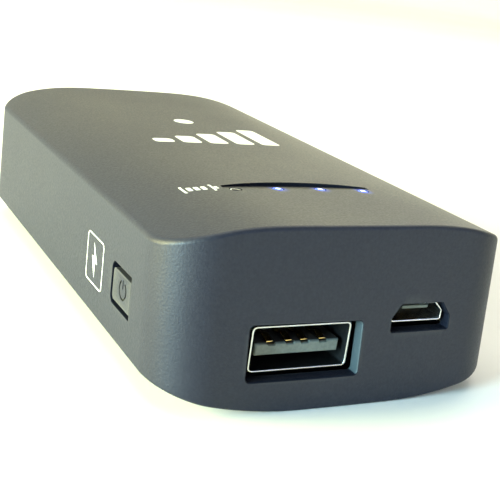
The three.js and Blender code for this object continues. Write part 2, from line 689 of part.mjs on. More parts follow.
// The heat-shrink sleeve, which folds over both rims of the can.
function cellSleeve(x) {
  const inner = CELL.radius + SLEEVE.play;
  const outer = inner + CELL.wrap;
  const lip = inner - SLEEVE.lip;
  const foot = -SLEEVE.play;
  const rim = CELL.length - CELL_CAP.proud + SLEEVE.play;
  const profile = [
    [lip, foot - CELL.wrap],
    [outer, foot - CELL.wrap],
    [outer, rim + CELL.wrap],
    [lip, rim + CELL.wrap],
    [lip, rim],
    [inner, rim],
    [inner, foot],
    [lip, foot],
    [lip, foot - CELL.wrap],
  ].map(([radius, z]) => new THREE.Vector2(radius, z));
  return facingCells(new THREE.LatheGeometry(profile, 28), x);
}

// The positive cap: a disc inside the crimp with a raised button.
function cellCap(x) {
  const { gap, back, thick, footR, topR } = CELL_CAP;
  const rim = CELL.radius - CELL.can - gap;
  const seat = CELL.length - back;
  const profile = [
    [0, seat],
    [rim, seat],
    [rim, seat + thick],
    [footR, seat + thick],
    [topR, CELL.length],
    [0, CELL.length],
  ].map(([radius, z]) => new THREE.Vector2(radius, z));
  return facingCells(new THREE.LatheGeometry(profile, 24), x);
}

// The wound electrodes inside the can.
function cellCore(x) {
  const r = CELL.radius - CELL.can - CELL_CORE.gap;
  const foot = CELL.can + CELL_CORE.foot;
  const front = CELL.length - CELL_CORE.front;
  const profile = [
    [0, foot],
    [r, foot],
    [r, front],
    [0, front],
  ].map(([radius, z]) => new THREE.Vector2(radius, z));
  return facingCells(new THREE.LatheGeometry(profile, 24), x);
}

function nickelStrip(y) {
  const width = 2 * (CELL.x + STRIP.overhang);
  return frontward(roundedRectangle(0, CELL.z, width, STRIP.width, STRIP.cornerR), y, y + STRIP.thick, 3);
}

// A round wire along a smooth curve.
function wire(points, steps) {
  const ring = new THREE.Shape();
  ring.absarc(0, 0, LEAD.radius, 0, Math.PI * 2);
  const path = new THREE.CatmullRomCurve3(points.map((point) => new THREE.Vector3(...point)));
  return solid(
    new THREE.ExtrudeGeometry(ring, { steps, extrudePath: path, bevelEnabled: false, curveSegments: 4 }),
  );
}

// The short lead from the joined positive ends to the underside of the board.
function positiveLead() {
  const start = POSITIVE_STRIP_Y - LEAD.radius - SOLDER;
  const pad = BOARD.bottom - SOLDER;
  return wire(
    [
      [LEAD.positiveX, start, CELL.z - 2.6],
      [LEAD.positiveX, start - 0.1, CELL.z - 3.8],
      [LEAD.positiveX, start - 1.2, CELL.z - 4.2],
      [LEAD.positiveX, start - 2.2, CELL.z - 3.2],
      [LEAD.positiveX, start - 2.4, pad],
    ],
    14,
  );
}

// The long lead from the rear strip, which runs forward in the valley under the two cells.
function negativeLead() {
  const start = NEGATIVE_STRIP_Y + STRIP.thick + LEAD.radius + SOLDER;
  const valley = SKIN + LEAD.radius + 0.3;
  const pad = BOARD.bottom - SOLDER;
  return wire(
    [
      [0, start, CELL.z - 3.5],
      [0, start, CELL.z - 6],
      [0, start - 1.8, valley],
      [0, start - 8, valley],
      [0, 10, valley],
      [0, CELL.front + 2, valley],
      [0, CELL.front - 2.4, valley + 0.4],
      [0, CELL.front - 4.0, valley + 3.0],
      [0, CELL.front - 4.2, pad],
    ],
    40,
  );
}

// The card between the board and the cells, notched from below for the leads.
function insulatorCard() {
  const { y, width, height, rise, thick, cornerR } = CARD_PANEL;
  const card = frontward(roundedRectangle(0, CELL.z + rise, width, height, cornerR), y, y + thick);
  const right = LEAD.positiveX + LEAD_NOTCH.play;
  const top = CELL.z + LEAD_NOTCH.top;
  return card.subtract(block([-LEAD_NOTCH.play, y - OVERSHOOT, 0], [right, y + OVERSHOOT, top]));
}

// The soft block that keeps the cells from knocking against the rear wall.
function rearFoam() {
  const { width, height, rise, thick, cornerR } = FOAM_PAD;
  const y = NEGATIVE_STRIP_Y + STRIP.thick + SOLDER;
  const pad = frontward(roundedRectangle(0, CELL.z + rise, width, height, cornerR), y, y + thick);
  const top = CELL.z + LEAD_NOTCH.top;
  return pad.subtract(block([-LEAD_NOTCH.play, y - OVERSHOOT, 0], [LEAD_NOTCH.play, y + OVERSHOOT, top]));
}

// ---------------------------------------------------------------- assembly

add("upper_shell", upperShell(), CASE);
add("bottom_cover", bottomCover(), CASE);
add("power_button", powerButton(), CASE);

CASE_BOSSES.forEach(([x, y], i) => {
  add(`case_screw_${i + 1}`, screw(x, y, CASE_SCREW_SEAT - SOLDER, CASE_SCREW_LENGTH), STEEL);
});
BOARD_BOSSES.forEach(([x, y], i) => {
  add(`board_screw_${i + 1}`, screw(x, y, BOARD.bottom - SOLDER, BOARD_SCREW_LENGTH), STEEL);
});

add("main_board", mainBoard(), BOARD_MASK);
for (const [name, place] of Object.entries(CHIPS_ABOVE)) {
  add(name, chip(...place), CHIP);
}
add("crystal", chip(...CRYSTAL), STEEL);
add("charge_ic", chip(...CHARGE_IC, false), CHIP);
add("boost_inductor", inductor(), FERRITE);
CAPACITOR.xs.forEach((x, i) => {
  add(`output_capacitor_${i + 1}`, canCapacitor(x), STEEL);
});
add("wifi_antenna", antenna(), NICKEL);

lightPlaces().forEach(([x, y], i) => {
  const { width, length, height } = STATUS_LED;
  add(`status_led_${i + 1}`, chip(x, y, width, length, height), LIGHT_PLASTIC);
});
add("light_guide", lightGuide(), CLEAR);

add("switch_body", switchBody(), DARK_PLASTIC);
add("switch_plate", switchPlate(), STEEL);
add("switch_plunger", switchPlunger(), DARK_PLASTIC);

add("usb_a_shell", usbAShell(), STEEL);
add("usb_a_insulator", usbAInsulator(), LIGHT_PLASTIC);
USB_A_PITCHES.forEach((offset, i) => {
  add(`usb_a_contact_${i + 1}`, usbAContact(offset), GOLD);
});

add("micro_usb_shell", microShell(), STEEL);
add("micro_usb_insulator", microInsulator(), DARK_PLASTIC);
for (let i = 0; i < MICRO_CONTACT.count; i += 1) {
  const offset = (i - (MICRO_CONTACT.count - 1) / 2) * MICRO_CONTACT.pitch;
  add(`micro_usb_contact_${i + 1}`, microContact(offset), GOLD);
}

[["left", -1], ["right", 1]].forEach(([side, sign]) => {
  const x = sign * CELL.x;
  add(`cell_can_${side}`, cellCan(x), STEEL);
  add(`cell_core_${side}`, cellCore(x), ELECTRODE);
  add(`cell_cap_${side}`, cellCap(x), NICKEL);
  add(`cell_sleeve_${side}`, cellSleeve(x), WRAP);
});
add("positive_strip", nickelStrip(POSITIVE_STRIP_Y), NICKEL);
add("negative_strip", nickelStrip(NEGATIVE_STRIP_Y), NICKEL);
add("positive_lead", positiveLead(), RED_WIRE);
add("negative_lead", negativeLead(), BLACK_WIRE);
add("insulator_card", insulatorCard(), CARD);
add("rear_foam", rearFoam(), FOAM);

export default group;
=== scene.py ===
import math
from types import SimpleNamespace as Sizes

import bmesh
import bpy
import numpy as np
from mathutils import Matrix, Vector
from mathutils.bvhtree import BVHTree
from mathutils.interpolate import poly_3d_calc


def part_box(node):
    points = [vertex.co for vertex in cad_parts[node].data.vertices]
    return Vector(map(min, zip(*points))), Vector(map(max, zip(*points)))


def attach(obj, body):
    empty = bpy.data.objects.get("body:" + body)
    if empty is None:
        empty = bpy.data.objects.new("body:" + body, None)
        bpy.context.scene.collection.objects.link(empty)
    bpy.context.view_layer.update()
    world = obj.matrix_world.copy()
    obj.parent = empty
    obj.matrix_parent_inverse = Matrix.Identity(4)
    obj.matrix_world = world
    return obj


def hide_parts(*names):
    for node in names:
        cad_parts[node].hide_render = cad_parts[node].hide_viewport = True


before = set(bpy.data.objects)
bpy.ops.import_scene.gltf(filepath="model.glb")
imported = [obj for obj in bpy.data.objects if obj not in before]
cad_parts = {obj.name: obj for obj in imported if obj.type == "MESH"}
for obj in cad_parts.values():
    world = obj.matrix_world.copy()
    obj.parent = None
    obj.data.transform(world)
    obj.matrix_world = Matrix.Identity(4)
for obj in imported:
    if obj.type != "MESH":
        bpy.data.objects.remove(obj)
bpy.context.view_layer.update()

# Pocket mobile hotspot: the visible surfaces, finishes, light and camera round its packed CAD model.
# Shapes are worked out in millimetres, +Z up, and every mesh is scaled to metres as it is made.

MM = 0.001


def box_mm(node):
    """Lowest and highest corner of a CAD node, in millimetres."""
    low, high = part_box(node)
    return low / MM, high / MM


# ---- driving dimensions

HALF_WIDTH, _, HEIGHT = box_mm("upper_shell")[1]
HALF_LENGTH = 41.35
TOP_CROWN = 2.95
BOTTOM_CROWN = 2.9
HALF_FLAT = 6.0
CORNER_R = 6.7
FRONT_BULGE = 0.6
REAR_BULGE = 2.3
END_LEAN = 0.0343
SIDE_DRAFT = 0.008
WALL_TOP = HEIGHT - TOP_CROWN
WALL_HEIGHT = WALL_TOP - BOTTOM_CROWN
WALL = 1.5
SKIN = 1.4
COVER_GAP = 0.15
EDGE_R = 0.55
BASE_EDGE_R = 0.35
COVER_EDGE_R = 0.2
LIP_BEVEL = 0.1
INK = 0.012

USB_CUT = Sizes(width=14.55, height=6.55, corner=0.5)
MICRO_CUT = Sizes(middle=10.52, width=8.52, height=3.34, slope_x=1.26, slope_z=1.69)
FLAP_HOLE = Sizes(hinge=-31.15, free=-24.5, bottom=7.2, top=12.5, corner=0.9)
BUTTON_SLOT = 0.65
BUTTON_THICK = 1.1
BUTTON_EDGE = 0.1
STEM = Sizes(y=-26.6, length=1.6, height=1.3, corner=0.3, sink=0.3)
SYMBOL = Sizes(y=-28.55, z=10.0, radius=1.12, stroke=0.28, depth=0.14, bar=(0.1, 1.25), gap=32)
GROOVE = Sizes(rear=-22.45, rear_r=32.0, front=-25.6, front_r=62.0, half=10.6, depth=0.5)
CASE_SCREWS = [(-19.4, -34.4), (19.4, -34.4)]
SCREW_SEAT = 3.7
SCREW_CUP = Sizes(radius=2.6, bevel=0.2, depth=1.2, recess_r=1.9, hole_r=1.05)

LIGHT_XS = [6.15 * n for n in (-1.5, -0.5, 0.5, 1.5)]
LIGHT_Y = -25.25
LIGHT_BOW = 0.0076
LIGHT_PLACES = [(x, LIGHT_Y - LIGHT_BOW * x * x) for x in LIGHT_XS]
WINDOW_R = 0.85
GUIDE = Sizes(post_r=0.78, post_drop=0.25, drop=0.35, thick=1.2, back=0.35, beyond=2, width=1.9)
LIGHT_TIP = Sizes(radius=0.68, foot=0.24, sink=0.02, dome=0.1, reach=86)

USB_CAN = Sizes(sheet=0.3, slopes=(), inner_slopes=(), r=0.6, inner_r=0.4, lip=0.12, bright_rim=0.3)
USB_LEAF = Sizes(x=3, width=1.8, start=2.4, length=4.4, thick=0.22, sag=0.35, bow=1.15)
USB_TONGUE = Sizes(half=5.55, bottom=6.08, top=7.6, root=2.9, plug=3.0, pale_tip=0.25)
USB_TONGUE_NOSE = [(0.3, 0), (0.1, 0.08), (0, 0.22)]
USB_CONTACTS_X = (3.5, 1, -1, -3.5)
USB_CONTACT_SLOT = Sizes(mouth=0.62, floor=0.5, depth=0.22)
USB_CONTACT = Sizes(side=0.06, sink=0.36, rise=0.4, peak=0.22, spread=0.12, thick=0.2, steps=24, edge=0.05)

MICRO_CAN = Sizes(sheet=0.25, slopes=(1.1, 1.1), inner_slopes=(1, 1), r=0.35, inner_r=0.2, lip=0.1)
MICRO_TONGUE = Sizes(width=3.8, height=0.4, rise=0.4, root=0.9, plug=1.1, pale_tip=0.12)
MICRO_TONGUE_NOSE = [(0.1, 0), (0, 0.06)]
MICRO_CONTACT = Sizes(side=0, rise=0.02, dip=0.08, curved=0.4, thick=0.12, steps=12, edge=0.03)

THREAD = Sizes(pitch=0.55, core_r=0.58, ridge=0.17, rings=110, point=0.9, point_share=0.45)
SCREW_CROSS = Sizes(half=1.0, bar=0.17, foot=0.6, depth=0.65)

# Material slots of the case pieces; 0 is the outside, 1 a darker copy for cut faces that is painted shade,
# and 2 on the top case a paler copy for the lit port wall that is painted light.
CUT_FACE, LIT_FACE = 1, 2


def steps(start, stop, count):
    """Count + 1 evenly spaced values from start to stop."""
    return [start + (stop - start) * i / count for i in range(count + 1)]


# ---- materials

MATERIALS = {}


class Finish:
    """A node material that is built one node at a time; MATERIALS keeps it by its name."""

    def __init__(self, name):
        self.material = MATERIALS[name] = bpy.data.materials.new(name)
        self.material.use_nodes = True
        self.tree = self.material.node_tree
        self.shader = self.tree.nodes["Principled BSDF"]

    def feed(self, socket, value):
        if isinstance(value, bpy.types.NodeSocket):
            self.tree.links.new(value, socket)
        else:
            socket.default_value = value

    def node(self, kind, inputs=None, **settings):
        made = self.tree.nodes.new(kind)
        for key, value in settings.items():
            setattr(made, key, value)
        for key, value in (inputs or {}).items():
            self.feed(made.inputs[key], value)
        return made

    def place(self, stretch=(1, 1, 1)):
        """Object coordinates, stretched along the axes."""
        spot = self.node("ShaderNodeTexCoord").outputs["Object"]
        return self.node("ShaderNodeMapping", {"Vector": spot, "Scale": stretch}).outputs["Vector"]

    def noise(self, scale, detail=3.0, stretch=(1, 1, 1)):
        inputs = {"Vector": self.place(stretch), "Scale": scale, "Detail": detail}
        return self.node("ShaderNodeTexNoise", inputs).outputs["Fac"]

    def ramp(self, value, *stops):
        """A colour ramp with (position, colour) stops."""
        made = self.node("ShaderNodeValToRGB", {"Fac": value})
        band = made.color_ramp
        while len(band.elements) < len(stops):
            band.elements.new(1.0)
        for element, (position, colour) in zip(band.elements, stops):
            element.position = position
            element.color = (*colour, 1.0)
        return made.outputs["Color"]

    def spread(self, value, low, high, start=0.3, stop=0.7):
        """Value between start and stop brought to low and high."""
        inputs = {"Value": value, "From Min": start, "From Max": stop, "To Min": low, "To Max": high}
        return self.node("ShaderNodeMapRange", inputs).outputs["Result"]

    def math(self, operation, first, second=0.0):
        return self.node("ShaderNodeMath", {0: first, 1: second}, operation=operation).outputs[0]

    def mix(self, factor, first, second):
        """Two colours mixed; the second is never a socket."""
        first = first if isinstance(first, bpy.types.NodeSocket) else (*first, 1.0)
        inputs = {0: factor, 6: first, 7: (*second, 1.0)}
        return self.node("ShaderNodeMix", inputs, data_type="RGBA").outputs[2]

    def bump(self, height, strength, distance):
        inputs = {"Height": height, "Strength": strength, "Distance": distance}
        return self.node("ShaderNodeBump", inputs).outputs["Normal"]

    def vector(self, operation, first, second=(0, 0, 0), output=0):
        return self.node("ShaderNodeVectorMath", {0: first, 1: second}, operation=operation).outputs[output]

    def from_middle(self, x, y):
        """Distance in plan from a point of the piece's own box, which spans 0 to 1."""
        spot = self.node("ShaderNodeTexCoord").outputs["Generated"]
        return self.vector("DISTANCE", self.vector("MULTIPLY", spot, (1, 1, 0)), (x, y, 0), "Value")

    def wire(self, **sockets):
        """Links or sets sockets of the shader; the words of a socket's name are joined by _."""
        for key, value in sockets.items():
            self.feed(self.shader.inputs[key.replace("_", " ")], value)
        return self.material


def mottled(name, dark, light, gloss, grain, relief, patches=60.0, stretch=(1, 1, 1), **sockets):
    """A finish whose colour and gloss drift in patches, with fine relief from grain.

    gloss is the lowest and highest roughness, grain the scale of the relief per metre and relief its height.
    """
    made = Finish(name)
    drift = made.noise(patches, 4.0, stretch)
    fine = made.noise(grain, 2.0, stretch)
    blended = made.math("ADD", made.math("MULTIPLY", drift, 0.6), made.math("MULTIPLY", fine, 0.4))
    colour = made.ramp(blended, (0.36, dark), (0.64, light))
    return made.wire(
        Base_Color=colour,
        Roughness=made.spread(drift, *gloss),
        Normal=made.bump(fine, 0.5, relief),
        **sockets,
    )


def light_halo(made):
    """Painted glow: how strongly the lit windows' light is painted onto the plastic round them, from 1 at a
    window to 0.
    """
    halo = 0.0
    for x, y in LIGHT_PLACES[1:]:
        spot = made.node("ShaderNodeTexCoord").outputs["Object"]
        away = made.vector("SUBTRACT", spot, (x * MM, y * MM, HEIGHT * MM))
        reach = made.vector("LENGTH", made.vector("MULTIPLY", away, (1, 0.8, 1)), output="Value")
        halo = made.math("ADD", halo, made.spread(reach, 1.0, 0.0, 0.0005, 0.0016))
    return halo


def case_plastic(name, tone=1.0, sheen=0.5):
    """Satin soft-touch plastic with a fine spark-eroded grain, lighter at its edges as a painted highlight
    and with a painted blue glow round the lit windows.

    tone scales the colour and is lowered for the darker painted-shade copy; sheen sets the gloss of the
    surface.
    """
    made = Finish(name)
    drift = made.noise(38.0, 4.0)
    grain = made.noise(3600.0, 2.0)
    speckle = made.noise(2600.0, 1.0)
    dark = [tone * c for c in (0.012, 0.0145, 0.027)]
    light = [tone * c for c in (0.018, 0.0205, 0.034)]
    blended = made.math("ADD", made.math("MULTIPLY", drift, 0.5), made.math("MULTIPLY", speckle, 0.5))
    body = made.ramp(blended, (0.38, dark), (0.62, light))
    # painted highlight: convex edges, found by pointiness, are mixed towards a lighter grey
    edge = made.spread(made.node("ShaderNodeNewGeometry").outputs["Pointiness"], 0.0, 0.35, 0.52, 0.6)
    colour = made.mix(edge, body, (0.1, 0.1, 0.095))
    gloss = made.math("ADD", made.spread(drift, 0.44, 0.5), made.spread(grain, -0.05, 0.05))
    return made.wire(
        Base_Color=colour,
        Roughness=gloss,
        Normal=made.bump(grain, 0.6, 0.00005),
        IOR=1.4,
        Specular_IOR_Level=sheen,
        # painted glow: blue emission round the lit windows stands for their light on the plastic
        Emission_Color=(0.03, 0.12, 1.0, 1.0),
        Emission_Strength=made.math("MULTIPLY", made.math("POWER", light_halo(made), 1.8), 0.6),
    )


def metal(name, dark, light, gloss, stretch=(1, 1, 1), grain=2500.0):
    return mottled(name, dark, light, gloss, grain, 0.000006, 90.0, stretch, Metallic=1.0)


def laminate():
    """Green solder mask over copper traces, with bright pads."""
    made = Finish("board_laminate")
    cells = made.node("ShaderNodeTexVoronoi", {"Vector": made.place(), "Scale": 900.0},
                      distance="MANHATTAN", feature="DISTANCE_TO_EDGE").outputs["Distance"]
    track = made.spread(cells, 1.0, 0.0, 0.05, 0.09)
    pads = made.node("ShaderNodeTexVoronoi", {"Vector": made.place(), "Scale": 420.0},
                     distance="CHEBYCHEV").outputs["Distance"]
    pad = made.spread(pads, 1.0, 0.0, 0.12, 0.14)
    mask = made.mix(track, (0.012, 0.085, 0.04), (0.02, 0.16, 0.07))
    colour = made.mix(pad, mask, (0.55, 0.5, 0.35))
    gloss = made.spread(made.noise(700.0), 0.3, 0.45)
    relief = made.bump(track, 0.4, 0.00002)
    return made.wire(Base_Color=colour, Roughness=gloss, Normal=relief, Coat_Weight=0.3)


def black_plastic(name):
    return mottled(name, (0.011, 0.011, 0.012), (0.02, 0.02, 0.021), (0.5, 0.7), 6000.0, 0.00001, 400.0)


def wound_roll():
    """Electrode foil seen edge on, in fine turns round each cell's axis."""
    made = Finish("electrode_roll")
    turns = made.node("ShaderNodeTexWave", {"Vector": made.place(), "Scale": 900.0, "Distortion": 1.5},
                      wave_type="RINGS", rings_direction="Y").outputs["Fac"]
    colour = made.ramp(turns, (0.3, (0.08, 0.08, 0.085)), (0.7, (0.42, 0.3, 0.2)))
    return made.wire(Base_Color=colour, Roughness=made.spread(turns, 0.4, 0.7), Metallic=0.6)


def glow(name, middle, rim, strength):
    """A lit lens: hottest in its middle, and its rim in the colour of the light."""
    made = Finish(name)
    reach = made.from_middle(0.5, 0.5)
    wobble = made.math("MULTIPLY", made.math("SUBTRACT", made.noise(1500.0), 0.5), 0.1)
    ring = made.math("ADD", reach, wobble)
    colour = made.ramp(ring, (0.1, middle), (0.3, rim))
    power = made.spread(ring, strength, strength * 0.3, 0.1, 0.4)
    return made.wire(
        Base_Color=colour,
        Roughness=made.spread(ring, 0.15, 0.3, 0.0, 0.5),
        Emission_Color=colour,
        Emission_Strength=power,
        IOR=1.49,
    )


def unlit_lens():
    """A clear lens with nothing behind it: dark in the middle as painted shade of the unlit inside, and a
    pale crescent along the rear of its rim as a painted highlight.
    """
    made = Finish("light_tip_dark")
    reach = made.from_middle(0.5, 0.38)
    colour = made.ramp(reach, (0.42, (0.01, 0.015, 0.03)), (0.48, (0.8, 0.85, 0.92)))
    gloss = made.spread(made.noise(900.0), 0.1, 0.2)
    return made.wire(Base_Color=colour, Roughness=gloss, Specular_IOR_Level=0.12)


def floor_paper():
    """Matt white paper sweep."""
    made = Finish("floor_paper")
    drift = made.noise(9.0, 3.0)
    colour = made.ramp(drift, (0.3, (0.86, 0.86, 0.855)), (0.7, (0.9, 0.9, 0.895)))
    relief = made.bump(made.noise(2500.0), 0.1, 0.00002)
    return made.wire(Base_Color=colour, Roughness=0.9, Normal=relief)


def make_materials():
    """Fills MATERIALS. Colours come in pairs, dark and light."""
    steel = ((0.55, 0.56, 0.57), (0.72, 0.73, 0.74))
    nickel = ((0.52, 0.51, 0.47), (0.68, 0.67, 0.62))
    gold = ((0.62, 0.42, 0.14), (0.83, 0.62, 0.27))
    case_plastic("case_plastic")
    # painted shade: a darker, less glossy copy of the case plastic for the cut faces of openings and recesses
    case_plastic("case_inside", 0.6, 0.12)
    # painted light: a paler copy for the wall of the USB-A opening that faces the light
    mottled("port_wall", (0.045, 0.062, 0.07), (0.065, 0.085, 0.095), (0.4, 0.5), 5200, 0.00001)
    metal("screw_steel", (0.3, 0.3, 0.31), (0.42, 0.42, 0.43), (0.28, 0.42))
    laminate()
    black_plastic("chip_black")
    metal("plated_steel", *steel, (0.16, 0.28), (1, 0.15, 1), 3200)
    # painted shade: dark steel for the inside of the USB-A can, behind its front rim
    metal("steel_inside", (0.03, 0.032, 0.034), (0.05, 0.053, 0.056), (0.4, 0.55))
    mottled("ferrite", (0.03, 0.03, 0.032), (0.05, 0.05, 0.052), (0.55, 0.75), 4000, 0.00002)
    metal("capacitor_can", *steel, (0.25, 0.4), (1, 1, 0.1))
    mottled("led_package", (0.6, 0.6, 0.55), (0.75, 0.74, 0.68), (0.3, 0.5), 3000, 0.00001)
    mottled("light_guide_clear", (0.75, 0.8, 0.86), (0.82, 0.87, 0.92), (0.06, 0.14), 900, 0.000004,
            Transmission_Weight=0.85, IOR=1.49)
    unlit_lens()
    glow("light_tip_lit", (0.7, 0.85, 1.0), (0.02, 0.1, 1.0), 2.6)
    black_plastic("dark_plastic")
    # the tongues' front ends take this paler copy and their rest dark_plastic: painted light and shade
    mottled("pale_plastic", (0.1, 0.13, 0.13), (0.16, 0.19, 0.19), (0.35, 0.5), 2500, 0.00001, 500)
    metal("contact_gold", *gold, (0.18, 0.3), (1, 0.2, 1))
    metal("cell_steel", *nickel, (0.25, 0.38), (1, 0.1, 1))
    wound_roll()
    metal("nickel", *nickel, (0.28, 0.42), (0.15, 1, 1))
    mottled("cell_wrap", (0.02, 0.1, 0.22), (0.03, 0.14, 0.28), (0.25, 0.38), 800, 0.00002, Coat_Weight=0.4)
    mottled("red_insulation", (0.38, 0.015, 0.012), (0.5, 0.03, 0.025), (0.35, 0.5), 1500, 0.00001)
    mottled("black_insulation", (0.009, 0.009, 0.01), (0.017, 0.017, 0.018), (0.35, 0.5), 1500, 0.00001)
    mottled("insulating_card", (0.42, 0.33, 0.18), (0.55, 0.45, 0.27), (0.75, 0.9), 1600, 0.00003, 200,
            (0.3, 1, 1))
    mottled("foam", (0.015, 0.015, 0.017), (0.035, 0.035, 0.037), (0.85, 0.97), 2200, 0.0002, 900)
    mottled("ink_white", (0.76, 0.77, 0.75), (0.86, 0.86, 0.84), (0.45, 0.6), 5000, 0.000008, 1200)
    mottled("symbol_dark", (0.014, 0.015, 0.015), (0.022, 0.023, 0.023), (0.5, 0.65), 5200, 0.00001,
            Specular_IOR_Level=0.1)
    floor_paper()


make_materials()


# ---- mesh building

def new_piece(name, points, faces, *materials, face_materials=None):
    """A mesh object from points in millimetres, with materials or their names."""
    mesh = bpy.data.meshes.new(name)
    mesh.from_pydata([Vector(p) * MM for p in points], [], faces)
    for material in materials:
        mesh.materials.append(MATERIALS.get(material, material))
    if face_materials is not None:
        mesh.polygons.foreach_set("material_index", face_materials)
    grown = bmesh.new()
    grown.from_mesh(mesh)
    bmesh.ops.delete(grown, geom=[v for v in grown.verts if not v.link_faces], context="VERTS")
    bmesh.ops.recalc_face_normals(grown, faces=grown.faces)
    grown.to_mesh(mesh)
    grown.free()
    made = bpy.data.objects.new(name, mesh)
    bpy.context.scene.collection.objects.link(made)
    return made


def loft(rings, capped=True):
    """Points and faces of a closed tube through rings of equally many points, with flat ends."""
    points = [p for ring in rings for p in ring]
    n = len(rings[0])
    faces = []
    for level in range(len(rings) - 1):
        here = level * n
        above = here + n
        for k in range(n):
            after = (k + 1) % n
            faces.append((here + k, here + after, above + after, above + k))
    if capped:
        faces.append(tuple(reversed(range(n))))
        faces.append(tuple(range(len(points) - n, len(points))))
    else:
        last = len(points) - n
        faces.extend((last + k, last + (k + 1) % n, (k + 1) % n, k) for k in range(n))
    return points, faces


def rounded_polygon(corners, radius, offset=0.0):
    """A convex outline, anticlockwise, with round corners, of one radius or one each, grown by offset."""
    made = []
    radii = radius if isinstance(radius, list) else [radius] * len(corners)
    for i, radius in enumerate(radii):
        corner = Vector(corners[i])
        arrive = (corner - Vector(corners[i - 1])).normalized()
        leave = (Vector(corners[(i + 1) % len(corners)]) - corner).normalized()
        first = Vector((arrive.y, -arrive.x))
        last = Vector((leave.y, -leave.x))
        centre = corner - (first + last) * radius / (1 + first.dot(last))
        start = math.atan2(first.y, first.x)
        turn = first.angle_signed(last)
        r = radius + offset
        for a in steps(start, start - turn, 5):
            made.append((centre.x + r * math.cos(a), centre.y + r * math.sin(a)))
    return made


def rectangle(x, y, width, height):
    w, h = width / 2, height / 2
    return [(x - w, y - h), (x + w, y - h), (x + w, y + h), (x - w, y + h)]


def fillet(radius, count=5, reach=90.0):
    """(offset, depth) pairs from the foot of a round edge, at depth radius, to its lip."""
    angles = steps(0, math.radians(reach), count)
    return [(radius * (1 - math.cos(a)), radius * (1 - math.sin(a))) for a in angles]


def level(outline, z):
    return [(x, y, z) for x, y in outline]


def upright(outline, y):
    return [(x, y, z) for x, z in outline]


def bar_section(x0, x1, y, z0, z1):
    """An upright rectangle at y, as one ring of a loft."""
    return [(x0, y, z0), (x1, y, z0), (x1, y, z1), (x0, y, z1)]


def joined(parts):
    """Several (points, faces) as one."""
    points, faces = [], []
    for more_points, more_faces in parts:
        start = len(points)
        points.extend(more_points)
        faces.extend(tuple(start + i for i in face) for face in more_faces)
    return points, faces


def apply_modifiers(piece):
    """Makes the modified mesh the piece's own."""
    bpy.context.view_layer.update()
    graph = bpy.context.evaluated_depsgraph_get()
    made = bpy.data.meshes.new_from_object(piece.evaluated_get(graph), depsgraph=graph)
    piece.modifiers.clear()
    old = piece.data
    piece.data = made
    bpy.data.meshes.remove(old)


def carve(piece, parts, operation="DIFFERENCE", material=CUT_FACE):
    """Cuts parts out of a piece, or adds them to it; the new faces take the given material index."""
    points, faces = joined(parts)
    tool = new_piece("tool", points, faces, *piece.data.materials, face_materials=[material] * len(faces))
    modifier = piece.modifiers.new("carve", "BOOLEAN")
    modifier.operation = operation
    modifier.solver = "EXACT"
    modifier.object = tool
    apply_modifiers(piece)
    bpy.data.objects.remove(tool)


def smooth(piece, angle=35.0):
    """Smooth shading that keeps edges sharper than angle."""
    mesh = piece.data
    mesh.polygons.foreach_set("use_smooth", [True] * len(mesh.polygons))
    mesh.set_sharp_from_angle(angle=math.radians(angle))


def soft_edges(piece, width):
    """Rounds every sharp edge."""
    modifier = piece.modifiers.new("round", "BEVEL")
    modifier.width = width * MM
    modifier.segments = 2
    modifier.limit_method = "ANGLE"
    modifier.angle_limit = math.radians(40.0)
    modifier.use_clamp_overlap = True
    apply_modifiers(piece)
    smooth(piece, 50.0)


def finish_piece(piece, *nodes, slot=None, body="case"):
    """Says which body a piece rides and which CAD nodes it stands for; slot is not used."""
    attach(piece, body)
    if nodes:
        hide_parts(*nodes)


# ---- case surfaces

ROWS = 40
CORNER_STEPS = 14
END_STEPS = 34


def crown(x):
    """0 over the flat strip in the middle, 1 at the side walls."""
    return max(0.0, abs(x) - HALF_FLAT) / (HALF_WIDTH - HALF_FLAT)


def top_z(x):
    return HEIGHT - INK - TOP_CROWN * crown(x) ** 3


def bottom_z(x):
    return BOTTOM_CROWN * crown(x) ** 2


def tapered(x, y, z):
    """A point of the walls' plan at height z: sides draw in and ends lean out towards the bottom."""
    drop = (WALL_TOP - z) / WALL_HEIGHT
    return x * (1 - SIDE_DRAFT * drop), y * (1 + END_LEAN * drop), z


def end_radius(bulge):
    return (HALF_WIDTH**2 + bulge**2) / (2 * bulge)


def end_outline(bulge, inset):
    """One end of the plan from left to right, as (x, distance from the middle)."""
    end_r = end_radius(bulge)
    centre = HALF_LENGTH - end_r
    corner_x = HALF_WIDTH - CORNER_R
    corner_y = centre + math.sqrt((end_r - CORNER_R) ** 2 - corner_x**2)
    lean = math.asin(corner_x / (end_r - CORNER_R))
    r = CORNER_R - inset
    corner = [(corner_x + r * math.cos(a), corner_y + r * math.sin(a))
              for a in steps(0, math.pi / 2 - lean, CORNER_STEPS)]
    middle = [((end_r - inset) * math.sin(a), centre + (end_r - inset) * math.cos(a))
              for a in steps(-lean, lean, END_STEPS)]
    return [(-x, y) for x, y in corner] + middle[1:-1] + corner[::-1]


